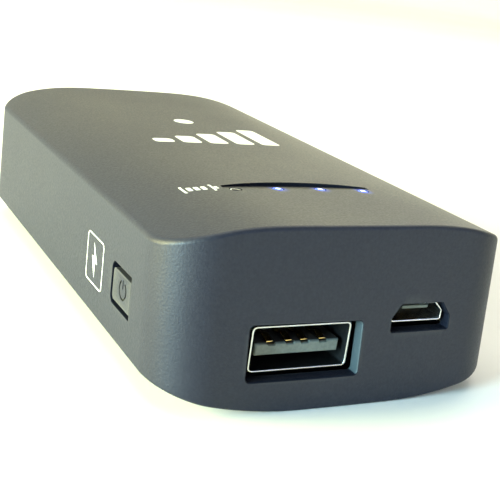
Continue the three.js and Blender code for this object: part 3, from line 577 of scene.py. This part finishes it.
class Case:
    """Grows a closed case-shaped mesh from grids over the plan and rings round it."""

    def __init__(self):
        self.points = []
        self.faces = []

    def plan(self, inset):
        """Rows of points from the front end to the rear, one row for each place across the case."""
        front = np.array([(x, -y) for x, y in end_outline(FRONT_BULGE, inset)])
        rear = np.array(end_outline(REAR_BULGE, inset))
        share = np.linspace(0, 1, ROWS + 1)[None, :, None]
        return front[:, None] * (1 - share) + rear[:, None] * share

    def rim(self, columns):
        """Rows and columns of the plan's rim, once round."""
        front = [(i, 0) for i in range(columns)]
        right = [(columns - 1, j) for j in range(1, ROWS + 1)]
        rear = [(i, ROWS) for i in range(columns - 2, -1, -1)]
        left = [(0, j) for j in range(ROWS - 1, 0, -1)]
        return front + right + rear + left

    def grid(self, inset, height, upwards):
        """A sheet over the whole plan; returns the numbers of its rim's points."""
        plan = self.plan(inset)
        columns = len(plan)
        start = len(self.points)
        for row in plan:
            self.points.extend(tapered(x, y, height(x)) for x, y in row)
        for i in range(columns - 1):
            for j in range(ROWS):
                a = start + i * (ROWS + 1) + j
                b = a + ROWS + 1
                face = (a, b, b + 1, a + 1)
                self.faces.append(face if upwards else face[::-1])
        return [start + i * (ROWS + 1) + j for i, j in self.rim(columns)]

    def ring(self, inset, height):
        """The rim of the plan alone, at its own height."""
        plan = self.plan(inset)
        start = len(self.points)
        for i, j in self.rim(len(plan)):
            x, y = plan[i][j]
            self.points.append(tapered(x, y, height(x)))
        return list(range(start, len(self.points)))

    def bridge(self, *rings):
        """Faces between neighbouring rings."""
        for upper, lower in zip(rings, rings[1:]):
            for k in range(len(upper)):
                after = (k + 1) % len(upper)
                self.faces.append((upper[k], lower[k], lower[after], upper[after]))

    def merged(self, sheet_rim, ring):
        """Points and faces, with a sheet's rim brought onto a ring."""
        same = dict(zip(sheet_rim, ring))
        return self.points, [tuple(same.get(i, i) for i in face) for face in self.faces]

    def hem(self, inset, radius, count):
        """Rings down a round lower edge, from the wall to the crowned underside."""
        return [self.ring(inset + radius * (1 - math.cos(a)),
                          lambda x, a=a: bottom_z(x) + radius * (1 - math.sin(a)))
                for a in steps(0, math.pi / 2, count)[1:]]


def shell_mesh():
    """Top, walls and open underside of the upper moulding, with round edges."""
    case = Case()
    roof = case.grid(EDGE_R, top_z, True)
    crest = [case.ring(EDGE_R - EDGE_R * math.sin(a), lambda x, a=a: top_z(x) - EDGE_R * (1 - math.cos(a)))
             for a in steps(0, math.pi / 2, 7)[1:]]
    walls = [case.ring(0, lambda x, t=t: (top_z(x) - EDGE_R) * (1 - t) + (bottom_z(x) + BASE_EDGE_R) * t)
             for t in steps(0, 1, 14)[1:]]
    hem = case.hem(0, BASE_EDGE_R, 5)
    lip = [case.ring(WALL - LIP_BEVEL, bottom_z), case.ring(WALL, lambda x: bottom_z(x) + LIP_BEVEL)]
    inner = case.ring(WALL, lambda x: top_z(x) - SKIN)
    ceiling = case.grid(WALL, lambda x: top_z(x) - SKIN, False)
    case.bridge(roof, *crest, *walls, *hem, *lip, inner)
    return case.merged(ceiling, inner)


def cover_mesh():
    """The crowned plate that closes the underside."""
    case = Case()
    edge = WALL + COVER_GAP
    top = case.grid(edge, lambda x: bottom_z(x) + SKIN, True)
    side = case.ring(edge, lambda x: bottom_z(x) + COVER_EDGE_R)
    hem = case.hem(edge, COVER_EDGE_R, 4)
    sole = case.grid(edge + COVER_EDGE_R, bottom_z, False)
    case.bridge(top, side, *hem)
    return case.merged(sole, hem[-1])


def area_normals(mesh):
    """Normals at a mesh's points, where larger faces count for more, so that flat parts stay flat."""
    normals = [Vector() for _ in mesh.vertices]
    for face in mesh.polygons:
        for i in face.vertices:
            normals[i] += face.normal * face.area
    return [n.normalized() for n in normals]


def keep_shading(piece, model):
    """Shades faces of material 0 as on the uncut model, and the cut ones by their own angles."""
    tree = BVHTree.FromPolygons([v.co for v in model.vertices], [p.vertices[:] for p in model.polygons])
    model_normals = area_normals(model)
    mesh = piece.data
    mesh.polygons.foreach_set("use_smooth", [True] * len(mesh.polygons))
    around = {}
    for face in mesh.polygons:
        if face.material_index:
            for i in face.vertices:
                around.setdefault(i, []).append(face)
    limit = math.cos(math.radians(35.0))
    normals = []
    for face in mesh.polygons:
        for loop in face.loop_indices:
            i = mesh.loops[loop].vertex_index
            if face.material_index:
                near = [f for f in around[i] if f.normal.dot(face.normal) > limit]
                normals.append(sum((f.normal * f.area for f in near), Vector()).normalized())
                continue
            spot, _, number, _ = tree.find_nearest(mesh.vertices[i].co)
            corners = model.polygons[number].vertices
            shares = poly_3d_calc([model.vertices[c].co for c in corners], spot)
            normal = sum((model_normals[c] * s for c, s in zip(corners, shares)), Vector()).normalized()
            normals.append(normal if normal.dot(face.normal) > 0.3 else face.normal.copy())
    mesh.normals_split_custom_set(normals)


# ---- cutting tools of the case

# A round lip stops short of the wall's face, so that a tool and the wall never share a plane.
LIP_REACH = 72.0
HINGE_CORNER_R = 0.06


def front_y(x, z):
    """The front wall's outer face."""
    end_r = end_radius(FRONT_BULGE)
    y = -(HALF_LENGTH - end_r + math.sqrt(end_r**2 - x**2))
    return tapered(x, y, z)[1]


def port_tool(corners, radius, lip):
    """A port's cut-out, 4.5 mm deep, with a round lip that follows the front wall."""
    rings = []
    for offset, depth in [(0, 4.5), (0, 1.0), *fillet(lip, 5, LIP_REACH)]:
        outline = rounded_polygon(corners, radius, offset)
        rings.append([(x, front_y(x, z) + depth, z) for x, z in outline])
    last = rounded_polygon(corners, radius, lip * 0.75)
    rings.append([(x, front_y(x, z) - 1.0, z) for x, z in last])
    return loft(rings)


def middle_xz(node):
    low, high = box_mm(node)
    return (low.x + high.x) / 2, (low.z + high.z) / 2


def bevelled_top(x, z, width, height, slope_x, slope_z):
    """A flat-bottomed outline whose upper corners are cut off."""
    w, h = width / 2, height / 2
    return [(x - w, z - h), (x + w, z - h), (x + w, z + h - slope_z), (x + w - slope_x, z + h),
            (x - w + slope_x, z + h), (x - w, z + h - slope_z)]


def side_x(z):
    """The left wall's outer face."""
    return tapered(-HALF_WIDTH, 0, z)[0]


def on_side(outline, depth):
    """A ring of (y, z) points that lie depth behind the left wall's face."""
    return [(side_x(z) + depth, y, z) for y, z in outline]


def button_corners(slot, front):
    """Corners of the flap's opening, drawn in by slot, as (y, z) from its hinge end."""
    low = FLAP_HOLE.bottom + slot
    high = FLAP_HOLE.top - slot
    rear = FLAP_HOLE.free - slot
    return [(front, low), (rear, low), (rear, high), (front, high)]


def button_hole_tool():
    """The flap's opening, cut 3 mm deep into the left wall."""
    corners = button_corners(0, FLAP_HOLE.hinge)
    radii = [HINGE_CORNER_R, FLAP_HOLE.corner, FLAP_HOLE.corner, HINGE_CORNER_R]
    rings = []
    for offset, depth in [(0, 3.0), (0, 0.8), *fillet(0.07, 3, LIP_REACH)]:
        outline = rounded_polygon(corners, radii, offset)
        rings.append(on_side(outline, depth))
    rings.append(on_side(rounded_polygon(corners, radii, 0.05), -1.0))
    return loft(rings[::-1])


def groove_tool():
    """A crescent scoop: flush along its front edge, deepest along its rear edge."""
    g = GROOVE
    rear_angle = math.asin(g.half / g.rear_r)
    front_angle = math.asin(g.half / g.front_r)
    rear = [(g.rear_r * math.sin(a), g.rear - g.rear_r * (1 - math.cos(a)))
            for a in steps(rear_angle, -rear_angle, 40)]
    front = [(g.front_r * math.sin(a), g.front - g.front_r * (1 - math.cos(a)))
             for a in steps(-front_angle, front_angle, 20)]
    outline = front + rear
    fall = g.depth / (g.rear - g.front)
    floor = [(x, y, HEIGHT - INK - fall * (y - g.front)) for x, y in outline]
    return loft([floor, level(outline, HEIGHT + 2)])


def circle(x, y, radius, count=40):
    return [(x + radius * math.cos(a), y + radius * math.sin(a)) for a in steps(0, 2 * math.pi, count)[:-1]]


def turned(x, y, *profile):
    """A round solid about an upright axis from (radius, height) pairs, lowest first."""
    return loft([level(circle(x, y, r), z) for r, z in profile])


# ---- case pieces

def light_port_wall(shell):
    """Paints light on the wall of the USB-A opening that faces the light: it takes a paler copy of the
    plastic.
    """
    for face in shell.data.polygons:
        middle = face.center
        in_port = abs(middle.x) < 6 * MM and middle.y < -HALF_LENGTH * MM + 3 * MM
        if face.material_index == CUT_FACE and in_port and face.normal.x < -0.5:
            face.material_index = LIT_FACE


def build_shell():
    shell = new_piece("top_case", *shell_mesh(), "case_plastic", "case_inside", "port_wall")
    model = shell.data.copy()
    usb = rectangle(*middle_xz("usb_a_shell"), USB_CUT.width, USB_CUT.height)
    micro = bevelled_top(middle_xz("micro_usb_shell")[0], *vars(MICRO_CUT).values())
    ports = [port_tool(usb, USB_CUT.corner, 0.22), port_tool(micro, 0.25, 0.18)]
    carve(shell, [*ports, button_hole_tool(), groove_tool()])
    carve(shell, [turned(x, y, (WINDOW_R, HEIGHT - 3), (WINDOW_R, HEIGHT + 1)) for x, y in LIGHT_PLACES])
    light_port_wall(shell)
    keep_shading(shell, model)
    finish_piece(shell, "upper_shell", slot="case_plastic")


def build_cover():
    cover = new_piece("base_cover", *cover_mesh(), "case_plastic", "case_inside")
    model = cover.data.copy()
    cup = SCREW_CUP
    cups, recesses, holes = [], [], []
    for x, y in CASE_SCREWS:
        cups.append(turned(x, y, (cup.radius, bottom_z(x) + SKIN / 2), (cup.radius, SCREW_SEAT + 1.0),
                           (cup.radius - cup.bevel, SCREW_SEAT + cup.depth)))
        recesses.append(turned(x, y, (cup.recess_r, -1), (cup.recess_r, SCREW_SEAT)))
        holes.append(turned(x, y, (cup.hole_r, SCREW_SEAT - 1), (cup.hole_r, SCREW_SEAT + 2)))
    carve(cover, cups, "UNION")
    carve(cover, recesses)
    carve(cover, holes)
    keep_shading(cover, model)
    finish_piece(cover, "bottom_cover", slot="case_plastic")


def band(path, width, low, high):
    """A bar of rectangular section along a path in the side wall's (y, z) plane, from x = low to high."""
    left, right = [], []
    for i, spot in enumerate(path):
        before = Vector(path[max(i - 1, 0)])
        after = Vector(path[min(i + 1, len(path) - 1)])
        along = (after - before).normalized()
        side = Vector((-along.y, along.x)) * width / 2
        left.append(Vector(spot) + side)
        right.append(Vector(spot) - side)
    outline = left + right[::-1]
    return loft([[(low, p.x, p.y) for p in outline], [(high, p.x, p.y) for p in outline]])


def build_button():
    """The flap: flush with the wall, with an engraved power symbol, and a stem that meets the switch."""
    front = FLAP_HOLE.hinge + 0.01
    corners = button_corners(BUTTON_SLOT, front)
    corner = FLAP_HOLE.corner - BUTTON_SLOT / 2
    radii = [0.05, corner, corner, 0.05]
    rings = []
    for offset, depth in fillet(BUTTON_EDGE, 4)[::-1]:
        outline = rounded_polygon(corners, radii, offset - BUTTON_EDGE if depth < BUTTON_EDGE else 0)
        rings.append(on_side(outline, depth))
    inner = [(max(y, front + 0.07), z) for y, z in rounded_polygon(corners, radii)]
    rings.append(on_side(inner, BUTTON_THICK))
    button = new_piece("power_key", *loft(rings), "case_plastic", "case_inside", "symbol_dark")

    sign_y, sign_z, radius = SYMBOL.y, SYMBOL.z, SYMBOL.radius
    arc = [(sign_y + radius * math.sin(a), sign_z + radius * math.cos(a))
           for a in steps(math.radians(SYMBOL.gap), math.radians(360 - SYMBOL.gap), 40)]
    bar = [(sign_y, sign_z + end) for end in SYMBOL.bar]
    face = side_x(sign_z)
    strokes = [band(path, SYMBOL.stroke, face - 1, face + SYMBOL.depth) for path in (arc, bar)]
    carve(button, strokes, material=2)

    low, high = box_mm("switch_body")
    end = rectangle(STEM.y, (low.z + high.z) / 2, STEM.length, STEM.height)
    stem = rounded_polygon(end, STEM.corner)
    ends = (face + BUTTON_THICK - STEM.sink, box_mm("power_button")[1].x)
    carve(button, [loft([[(x, y, z) for y, z in stem] for x in ends])], "UNION")
    smooth(button, 30.0)
    finish_piece(button, "power_button", slot="case_plastic", body="power_button")


# ---- lights

def build_lights():
    """The clear guide under the top, and the ends of its posts, of which the first is unlit."""
    low, high = box_mm("light_guide")
    posts = [turned(x, y, (GUIDE.post_r, low.z), (GUIDE.post_r, high.z - GUIDE.post_drop))
             for x, y in LIGHT_PLACES]
    bar_top = HEIGHT - SKIN - GUIDE.drop
    end_x, end_y = LIGHT_PLACES[-1]
    bar = rounded_polygon(rectangle(0, end_y + GUIDE.back, 2 * end_x + GUIDE.beyond, GUIDE.width), 0.3)
    beam = loft([level(bar, z) for z in (bar_top - GUIDE.thick, bar_top)])
    guide = new_piece("light_guide_bar", *beam, "light_guide_clear", "light_guide_clear")
    carve(guide, posts, "UNION", 0)
    soft_edges(guide, 0.06)
    finish_piece(guide, "light_guide", slot="light_guide_clear")

    r = LIGHT_TIP.radius
    rim = high.z - LIGHT_TIP.sink
    dome = [(r * math.cos(a), rim + LIGHT_TIP.dome * math.sin(a))
            for a in steps(0, math.radians(LIGHT_TIP.reach), 8)[1:]]
    for number, (x, y) in enumerate(LIGHT_PLACES, 1):
        look = "light_tip_dark" if number == 1 else "light_tip_lit"
        body = turned(x, y, (r, high.z - LIGHT_TIP.foot), (r, rim), *dome)
        tip = new_piece(f"light_tip_{number}", *body, look)
        smooth(tip, 50.0)
        finish_piece(tip, "light_guide", slot="light_guide_clear")


# ---- ports

def can_tube(node, can, outline):
    """A sheet tube along Y with a round mouth; outline takes a middle, a width, a height and slopes."""
    low, high = box_mm(node)
    width, height = high.x - low.x, high.z - low.z
    middle = middle_xz(node)
    outer = outline(*middle, width, height, *can.slopes)
    inner = outline(*middle, width - 2 * can.sheet, height - 2 * can.sheet, *can.inner_slopes)
    mouth = fillet(can.lip, 3)
    sections = [(outer, can.r, 0, high.y)]
    sections += [(outer, can.r, -offset, low.y + depth) for offset, depth in mouth]
    sections += [(inner, can.inner_r, offset, low.y + depth) for offset, depth in mouth[::-1]]
    sections += [(inner, can.inner_r, 0, high.y)]
    rings = [upright(rounded_polygon(corners, r, offset), y) for corners, r, offset, y in sections]
    return loft(rings, capped=False)


def leaf(x, mouth, z):
    """A pressed spring leaf of the USB-A can that bows down from z."""
    half = USB_LEAF.width / 2
    rings = []
    for t in steps(0, 1, 14):
        bow = t * USB_LEAF.bow
        dip = USB_LEAF.sag * math.sin(math.pi * bow) ** 1.5 if bow < 1 else 0.0
        y = mouth + USB_LEAF.start + USB_LEAF.length * t
        rings.append(bar_section(x - half, x + half, y, z - dip - USB_LEAF.thick, z - dip))
    return loft(rings[::-1])


def build_usb_can(x, z):
    low, high = box_mm("usb_a_shell")
    can = USB_CAN
    half_height = (high.z - low.z) / 2
    roof = z + half_height - can.sheet + 0.05
    leaves = [leaf(x + side * USB_LEAF.x, low.y, roof) for side in (-1, 1)]
    body = can_tube("usb_a_shell", can, rectangle)
    shell = new_piece("usb_a_can", *joined([body, *leaves]), "plated_steel", "steel_inside")
    # painted shade: faces inside the can behind its front rim, leaves included, take the dark steel
    for face in shell.data.polygons:
        middle = face.center
        across = abs(middle.x / MM - x) < (high.x - low.x) / 2 - can.sheet * 0.6
        up = abs(middle.z / MM - z) < half_height - can.sheet * 0.6
        face.material_index = int(across and up and middle.y > (low.y + can.bright_rim) * MM)
    smooth(shell, 40.0)
    finish_piece(shell, "usb_a_shell", slot="plated_steel")


def tongue_block(name, node, plug, tongue, pale_before, slot):
    """An insulator whose front end, before a place along Y, is paler than the rest, as painted light on its
    front and painted shade deeper in the socket.
    """
    block = new_piece(name, *joined([loft(plug[::-1]), loft(tongue)]), "dark_plastic", "pale_plastic")
    for face in block.data.polygons:
        # painted light and shade: the front end takes the pale copy, the rest deeper in the socket the dark
        # one
        face.material_index = int(face.center.y < pale_before * MM)
    smooth(block, 30.0)
    finish_piece(block, node, slot=slot)


def build_usb_tongue(x, z):
    """The insulator: a plug at the back, and a tongue with a slot under each contact."""
    low, high = box_mm("usb_a_insulator")
    back = rounded_polygon(rectangle(x, z, high.x - low.x, high.z - low.z), 0.35)
    plug = [upright(back, y) for y in (high.y - USB_TONGUE.plug, high.y)]
    half, bottom, top, *_ = vars(USB_TONGUE).values()
    mouth, floor, depth = vars(USB_CONTACT_SLOT).values()
    outline = [(x - half, bottom), (x + half, bottom), (x + half, top)]
    for pitch in USB_CONTACTS_X:
        at = x + pitch
        outline += [(at + mouth, top), (at + floor, top - depth)]
        outline += [(at - floor, top - depth), (at - mouth, top)]
    outline.append((x - half, top))
    centre_z = (bottom + top) / 2

    def section(y, shrink):
        return [(x + (px - x) * (1 - shrink / half), y, centre_z + (pz - centre_z) * (1 - shrink / 0.9))
                for px, pz in outline]

    tongue = [section(high.y - USB_TONGUE.root, 0)]
    tongue += [section(low.y + behind, shrink) for behind, shrink in USB_TONGUE_NOSE]
    tongue_block("usb_a_tongue", "usb_a_insulator", plug, tongue, low.y + USB_TONGUE.pale_tip, "pale_plastic")


def usb_contact_base(t, low, high):
    """The underside's height: the strip rises to its touching point near its tip."""
    c = USB_CONTACT
    return low.z - c.sink + c.rise * math.exp(-(((t - c.peak) / c.spread) ** 2))


def micro_contact_base(t, low, high):
    """The underside's height: the strip dips towards its tip."""
    c = MICRO_CONTACT
    return high.z + c.rise - (c.dip * math.sin(math.pi * min(1.0, t * 2.5)) if t < c.curved else 0.0)


def build_contact(kind, number, base_at, look):
    node = f"{kind}_contact_{number}"
    low, high = box_mm(node)
    left, right = low.x + look.side, high.x - look.side
    rings = []
    for t in steps(0, 1, look.steps):
        base = base_at(t, low, high)
        rings.append(bar_section(left, right, low.y + (high.y - low.y) * t, base, base + look.thick))
    strip = new_piece(f"{kind}_spring_{number}", *loft(rings[::-1]), "contact_gold")
    soft_edges(strip, look.edge)
    finish_piece(strip, node, slot="contact_gold")


def build_usb_a():
    x, z = middle_xz("usb_a_shell")
    build_usb_can(x, z)
    build_usb_tongue(x, z)
    for number in range(1, 5):
        build_contact("usb_a", number, usb_contact_base, USB_CONTACT)


def build_micro_tongue(x, z):
    low, high = box_mm("micro_usb_insulator")
    back = rounded_polygon(bevelled_top(x, z, high.x - low.x, high.z - low.z, 1.0, 1.0), 0.2)
    plug = [upright(back, y) for y in (high.y - MICRO_TONGUE.plug, high.y)]
    tongue = []
    nose = [(low.y + behind, cut) for behind, cut in MICRO_TONGUE_NOSE]
    for y, cut in [(high.y - MICRO_TONGUE.root, 0), *nose]:
        bar = rectangle(x, z + MICRO_TONGUE.rise, MICRO_TONGUE.width - 2 * cut,
                        MICRO_TONGUE.height - 2 * cut)
        tongue.append(upright(rounded_polygon(bar, 0.05), y))
    pale = low.y + MICRO_TONGUE.pale_tip
    tongue_block("micro_usb_tongue", "micro_usb_insulator", plug, tongue, pale, "dark_plastic")


def build_micro():
    can = new_piece("micro_usb_can", *can_tube("micro_usb_shell", MICRO_CAN, bevelled_top), "plated_steel")
    smooth(can, 40.0)
    finish_piece(can, "micro_usb_shell", slot="plated_steel")
    build_micro_tongue(*middle_xz("micro_usb_shell"))
    for number in range(1, 6):
        build_contact("micro_usb", number, micro_contact_base, MICRO_CONTACT)


# ---- screws

def thread_ring(x, y, z, tip, count):
    """One turn of points along a ridge that winds up the shank and fades towards the tip."""
    fade = min(1.0, (tip - z) / THREAD.point)
    share = THREAD.point_share + (1 - THREAD.point_share) * fade
    ring = []
    for k in range(count):
        a = 2 * math.pi * k / count
        ridge = abs(((z / THREAD.pitch - k / count) % 1.0) - 0.5) * 2
        r = (THREAD.core_r + THREAD.ridge * max(0.0, ridge * 1.6 - 0.6)) * share
        ring.append((x + r * math.cos(a), y + r * math.sin(a), z))
    return ring


def build_screw(number, x, y):
    """A pan-head screw with a cross recess and a rolled thread."""
    low, high = box_mm(f"case_screw_{number}")
    seat = SCREW_SEAT - 0.05
    head_r = (high.x - low.x) / 2
    count = 48
    head = [(0.4, low.z), (head_r * 0.72, low.z), (head_r * 0.9, low.z + 0.14), (head_r, low.z + 0.42),
            (head_r, seat - 0.05), (head_r - 0.05, seat), (0.75, seat)]
    rings = [level(circle(x, y, r, count), z) for r, z in head]
    rings += [thread_ring(x, y, z, high.z, count) for z in steps(seat + 0.1, high.z - 0.15, THREAD.rings)]
    rings.append(level(circle(x, y, 0.1, count), high.z))
    screw = new_piece(f"base_screw_{number}", *loft(rings), "screw_steel", "screw_steel")
    half, bar, foot, depth = vars(SCREW_CROSS).values()
    for wide, deep in ((half, bar), (bar, half)):
        mouth_ring = level(rectangle(x, y, 2 * wide, 2 * deep), low.z - 0.5)
        foot_ring = level(rectangle(x, y, 2 * wide * foot, 2 * deep * foot), low.z + depth)
        carve(screw, [loft([mouth_ring, foot_ring])])
    smooth(screw, 40.0)
    finish_piece(screw, f"case_screw_{number}", slot="screw_steel")


# ---- printed marks

# x, y, width, height and corner radius of each bar
TOP_MARK = [
    *[(-8.6 + 4.3 * i, -1.0, 3.1, 2.2 + 2.0 * i, 0.7) for i in range(5)],
    (0.3, 12.6, 3.2, 3.2, 1.59),
]
BATTERY_MARK = [
    (-13.9, -26.3, 4.2, 0.32, 0.15),
    (-13.9, -24.1, 4.2, 0.32, 0.15),
    (-15.85, -26.3, 0.3, 2.52, 0.14),
    (-11.95, -26.3, 0.3, 2.52, 0.14),
    (-11.45, -25.5, 0.45, 0.95, 0.1),
    *[(-15.0 + 0.95 * i, -25.7, 0.6, 1.32, 0.12) for i in range(3)],
]
SIDE_MARK = Sizes(y=-17.8, z=9.9, size=6.4, corner=0.7, stroke=0.17)
BOLT = [(-0.1, -2.3), (1.1, 0.4), (0.2, 0.4), (0.6, 2.3), (-0.95, -0.25), (-0.1, -0.25)]
TOP_INK = (-0.02, INK * 0.8)
SIDE_INK = (0.01, -0.004)


def upright_bar(x, y, width, height, r):
    """A rounded rectangle from y up, as (x, y low, y high) columns from left to right."""
    made = [(x - width / 2 + across, y + up, y + height - up) for across, up in fillet(r, 8)]
    return made + [(2 * x - px, y0, y1) for px, y0, y1 in made[::-1]]


def print_on_top(name, bars):
    """Thin ink patches on the crowned top."""
    parts = []
    for bar in bars:
        rings = []
        for x, y0, y1 in upright_bar(*bar):
            low, high = (top_z(x) + level for level in TOP_INK)
            rings.append([(x, y0, low), (x, y1, low), (x, y1, high), (x, y0, high)])
        parts.append(loft(rings[::-1]))
    made = new_piece(name, *joined(parts), "ink_white")
    smooth(made, 30.0)
    finish_piece(made)


def print_on_side():
    """A bolt in a rounded frame, on the left wall."""
    inside, outside = SIDE_INK
    square = rectangle(SIDE_MARK.y, SIDE_MARK.z, SIDE_MARK.size, SIDE_MARK.size)
    outer, inner = (rounded_polygon(square, SIDE_MARK.corner, offset) for offset in (0.0, -SIDE_MARK.stroke))
    levels = ((outer, inside), (outer, outside), (inner, outside), (inner, inside))
    frame_rings = [on_side(ring, depth) for ring, depth in levels]
    outline = [(SIDE_MARK.y + y, SIDE_MARK.z + z) for y, z in BOLT]
    parts = [loft(frame_rings, capped=False), loft([on_side(outline, depth) for depth in SIDE_INK])]
    mark = new_piece("printed_mark_side", *joined(parts), "ink_white")
    smooth(mark, 30.0)
    finish_piece(mark)


# ---- finishes of the CAD nodes

CAD_LOOKS = {
    "screw_steel": ["board_screw_1", "board_screw_2"],
    "board_laminate": ["main_board"],
    "chip_black": ["wifi_soc", "memory_chip", "flash_chip", "charge_ic"],
    "plated_steel": ["crystal", "switch_plate"],
    "ferrite": ["boost_inductor"],
    "capacitor_can": ["output_capacitor_1", "output_capacitor_2"],
    "led_package": ["status_led_1", "status_led_2", "status_led_3", "status_led_4"],
    "dark_plastic": ["switch_body", "switch_plunger"],
    "cell_steel": ["cell_can_left", "cell_can_right"],
    "electrode_roll": ["cell_core_left", "cell_core_right"],
    "cell_wrap": ["cell_sleeve_left", "cell_sleeve_right"],
    "nickel": ["wifi_antenna", "cell_cap_left", "cell_cap_right", "positive_strip", "negative_strip"],
    "red_insulation": ["positive_lead"],
    "black_insulation": ["negative_lead"],
    "insulating_card": ["insulator_card"],
    "foam": ["rear_foam"],
}


def dress_cad_nodes():
    """Gives the CAD nodes that no piece stands for their finishes."""
    for look, nodes in CAD_LOOKS.items():
        for node in nodes:
            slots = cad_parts[node].data.materials
            slots.clear()
            slots.append(MATERIALS[look])


# ---- stage, light and camera

STAGE = Sizes(flat=1.2, curve=0.4, wall=1.6, top=1.1)


def build_stage():
    """A round white sweep: flat floor, a wide curve and an upright rim, in metres."""
    flat, curve = STAGE.flat, STAGE.curve
    profile = [(0.0001, 0.0), (0.2, 0.0), (0.6, 0.0), (flat, 0.0)]
    profile += [(flat + curve * math.sin(a), curve * (1 - math.cos(a)))
                for a in steps(0, math.pi / 2, 12)[1:]]
    profile.append((STAGE.wall, STAGE.top))
    n = 96
    points = [(x / MM, y / MM, z / MM) for r, z in profile for x, y in circle(0, 0, r, n)]
    faces = [(k + i * n, k + (i + 1) * n, (k + 1) % n + (i + 1) * n, (k + 1) % n + i * n)
             for i in range(len(profile) - 1) for k in range(n)]
    faces.append(tuple(range(n)))
    sweep = new_piece("floor", points, faces, "floor_paper")
    smooth(sweep)


def area_light(name, place, aim, size, power, colour, height=None):
    data = bpy.data.lights.new(name, "AREA")
    data.shape = "RECTANGLE"
    data.size = size
    data.size_y = height or size
    data.energy = power
    data.color = colour
    light = bpy.data.objects.new(name, data)
    light.location = place
    light.rotation_euler = (Vector(aim) - Vector(place)).to_track_quat("-Z", "Y").to_euler()
    bpy.context.scene.collection.objects.link(light)


PART = (0, 0, 0.012)

# name, place, aim, size, power, colour and, where it differs, height
LIGHTS = [
    ("overhead", (0.0, 0.5, 1.3), PART, 1.2, 12.0, (1.0, 0.97, 0.78)),
    ("rear_panel", (0.05, 1.3, 0.42), (0, 0.3, 0), 2.0, 3.8, (1.0, 0.9, 0.45), 0.44),
    ("right_panel", (1.05, 1.08, 0.22), PART, 0.85, 2.9, (1.0, 0.95, 0.66), 0.35),
    ("right_floor", (0.4, 0.25, 0.5), (0.1, 0.05, 0), 0.3, 1.6, (1.0, 0.98, 0.85)),
    ("left_low", (-0.55, 0.12, 0.14), PART, 0.25, 10.5, (1.0, 0.93, 0.38)),
    ("left_front", (-0.6, -0.18, 0.13), PART, 0.25, 10.0, (0.55, 0.9, 1.0)),
    ("front_floor", (0.55, -0.62, 0.4), (0.07, -0.13, 0), 0.3, 1.0, (0.5, 0.58, 1.0)),
]


def build_light():
    for light in LIGHTS:
        area_light(*light)
    world = bpy.data.worlds.new("studio")
    world.use_nodes = True
    backdrop = world.node_tree.nodes["Background"].inputs
    backdrop["Color"].default_value = (0.45, 0.58, 1.0, 1.0)
    backdrop["Strength"].default_value = 0.06
    bpy.context.scene.world = world


CAMERA = Sizes(azimuth=-28.364, elevation=17.195, roll=8.076, distance=150.11, lens=71.42, sensor=36.0)
CAMERA_AIM = (5.435, -4.553, 6.298)


def build_camera():
    """Looks at CAMERA_AIM from an azimuth and elevation, rolled about its own axis."""
    azimuth, elevation, roll = (math.radians(a) for a in (CAMERA.azimuth, CAMERA.elevation, CAMERA.roll))
    back = Vector((math.sin(azimuth) * math.cos(elevation), -math.cos(azimuth) * math.cos(elevation),
                   math.sin(elevation)))
    level = Vector((math.cos(azimuth), math.sin(azimuth), 0))
    steep = back.cross(level)
    right = level * math.cos(roll) + steep * math.sin(roll)
    up = back.cross(right)
    place = (Vector(CAMERA_AIM) + back * CAMERA.distance) * MM
    data = bpy.data.cameras.new("camera")
    data.lens = CAMERA.lens
    data.sensor_width = CAMERA.sensor
    data.clip_start = 0.005
    data.clip_end = 20.0
    camera = bpy.data.objects.new("camera", data)
    camera.matrix_world = Matrix.Translation(place) @ Matrix((right, up, back)).transposed().to_4x4()
    bpy.context.scene.collection.objects.link(camera)
    bpy.context.scene.camera = camera


# ---- assembly

build_shell()
build_cover()
build_button()
build_lights()
build_usb_a()
build_micro()
for index, (screw_x, screw_y) in enumerate(CASE_SCREWS, 1):
    build_screw(index, screw_x, screw_y)
print_on_top("printed_mark_top", TOP_MARK)
print_on_top("printed_mark_lights", BATTERY_MARK)
print_on_side()
dress_cad_nodes()
build_stage()
build_light()
build_camera()

bpy.context.scene.view_settings.view_transform = "Standard"
bpy.context.scene.cycles.use_denoising = True
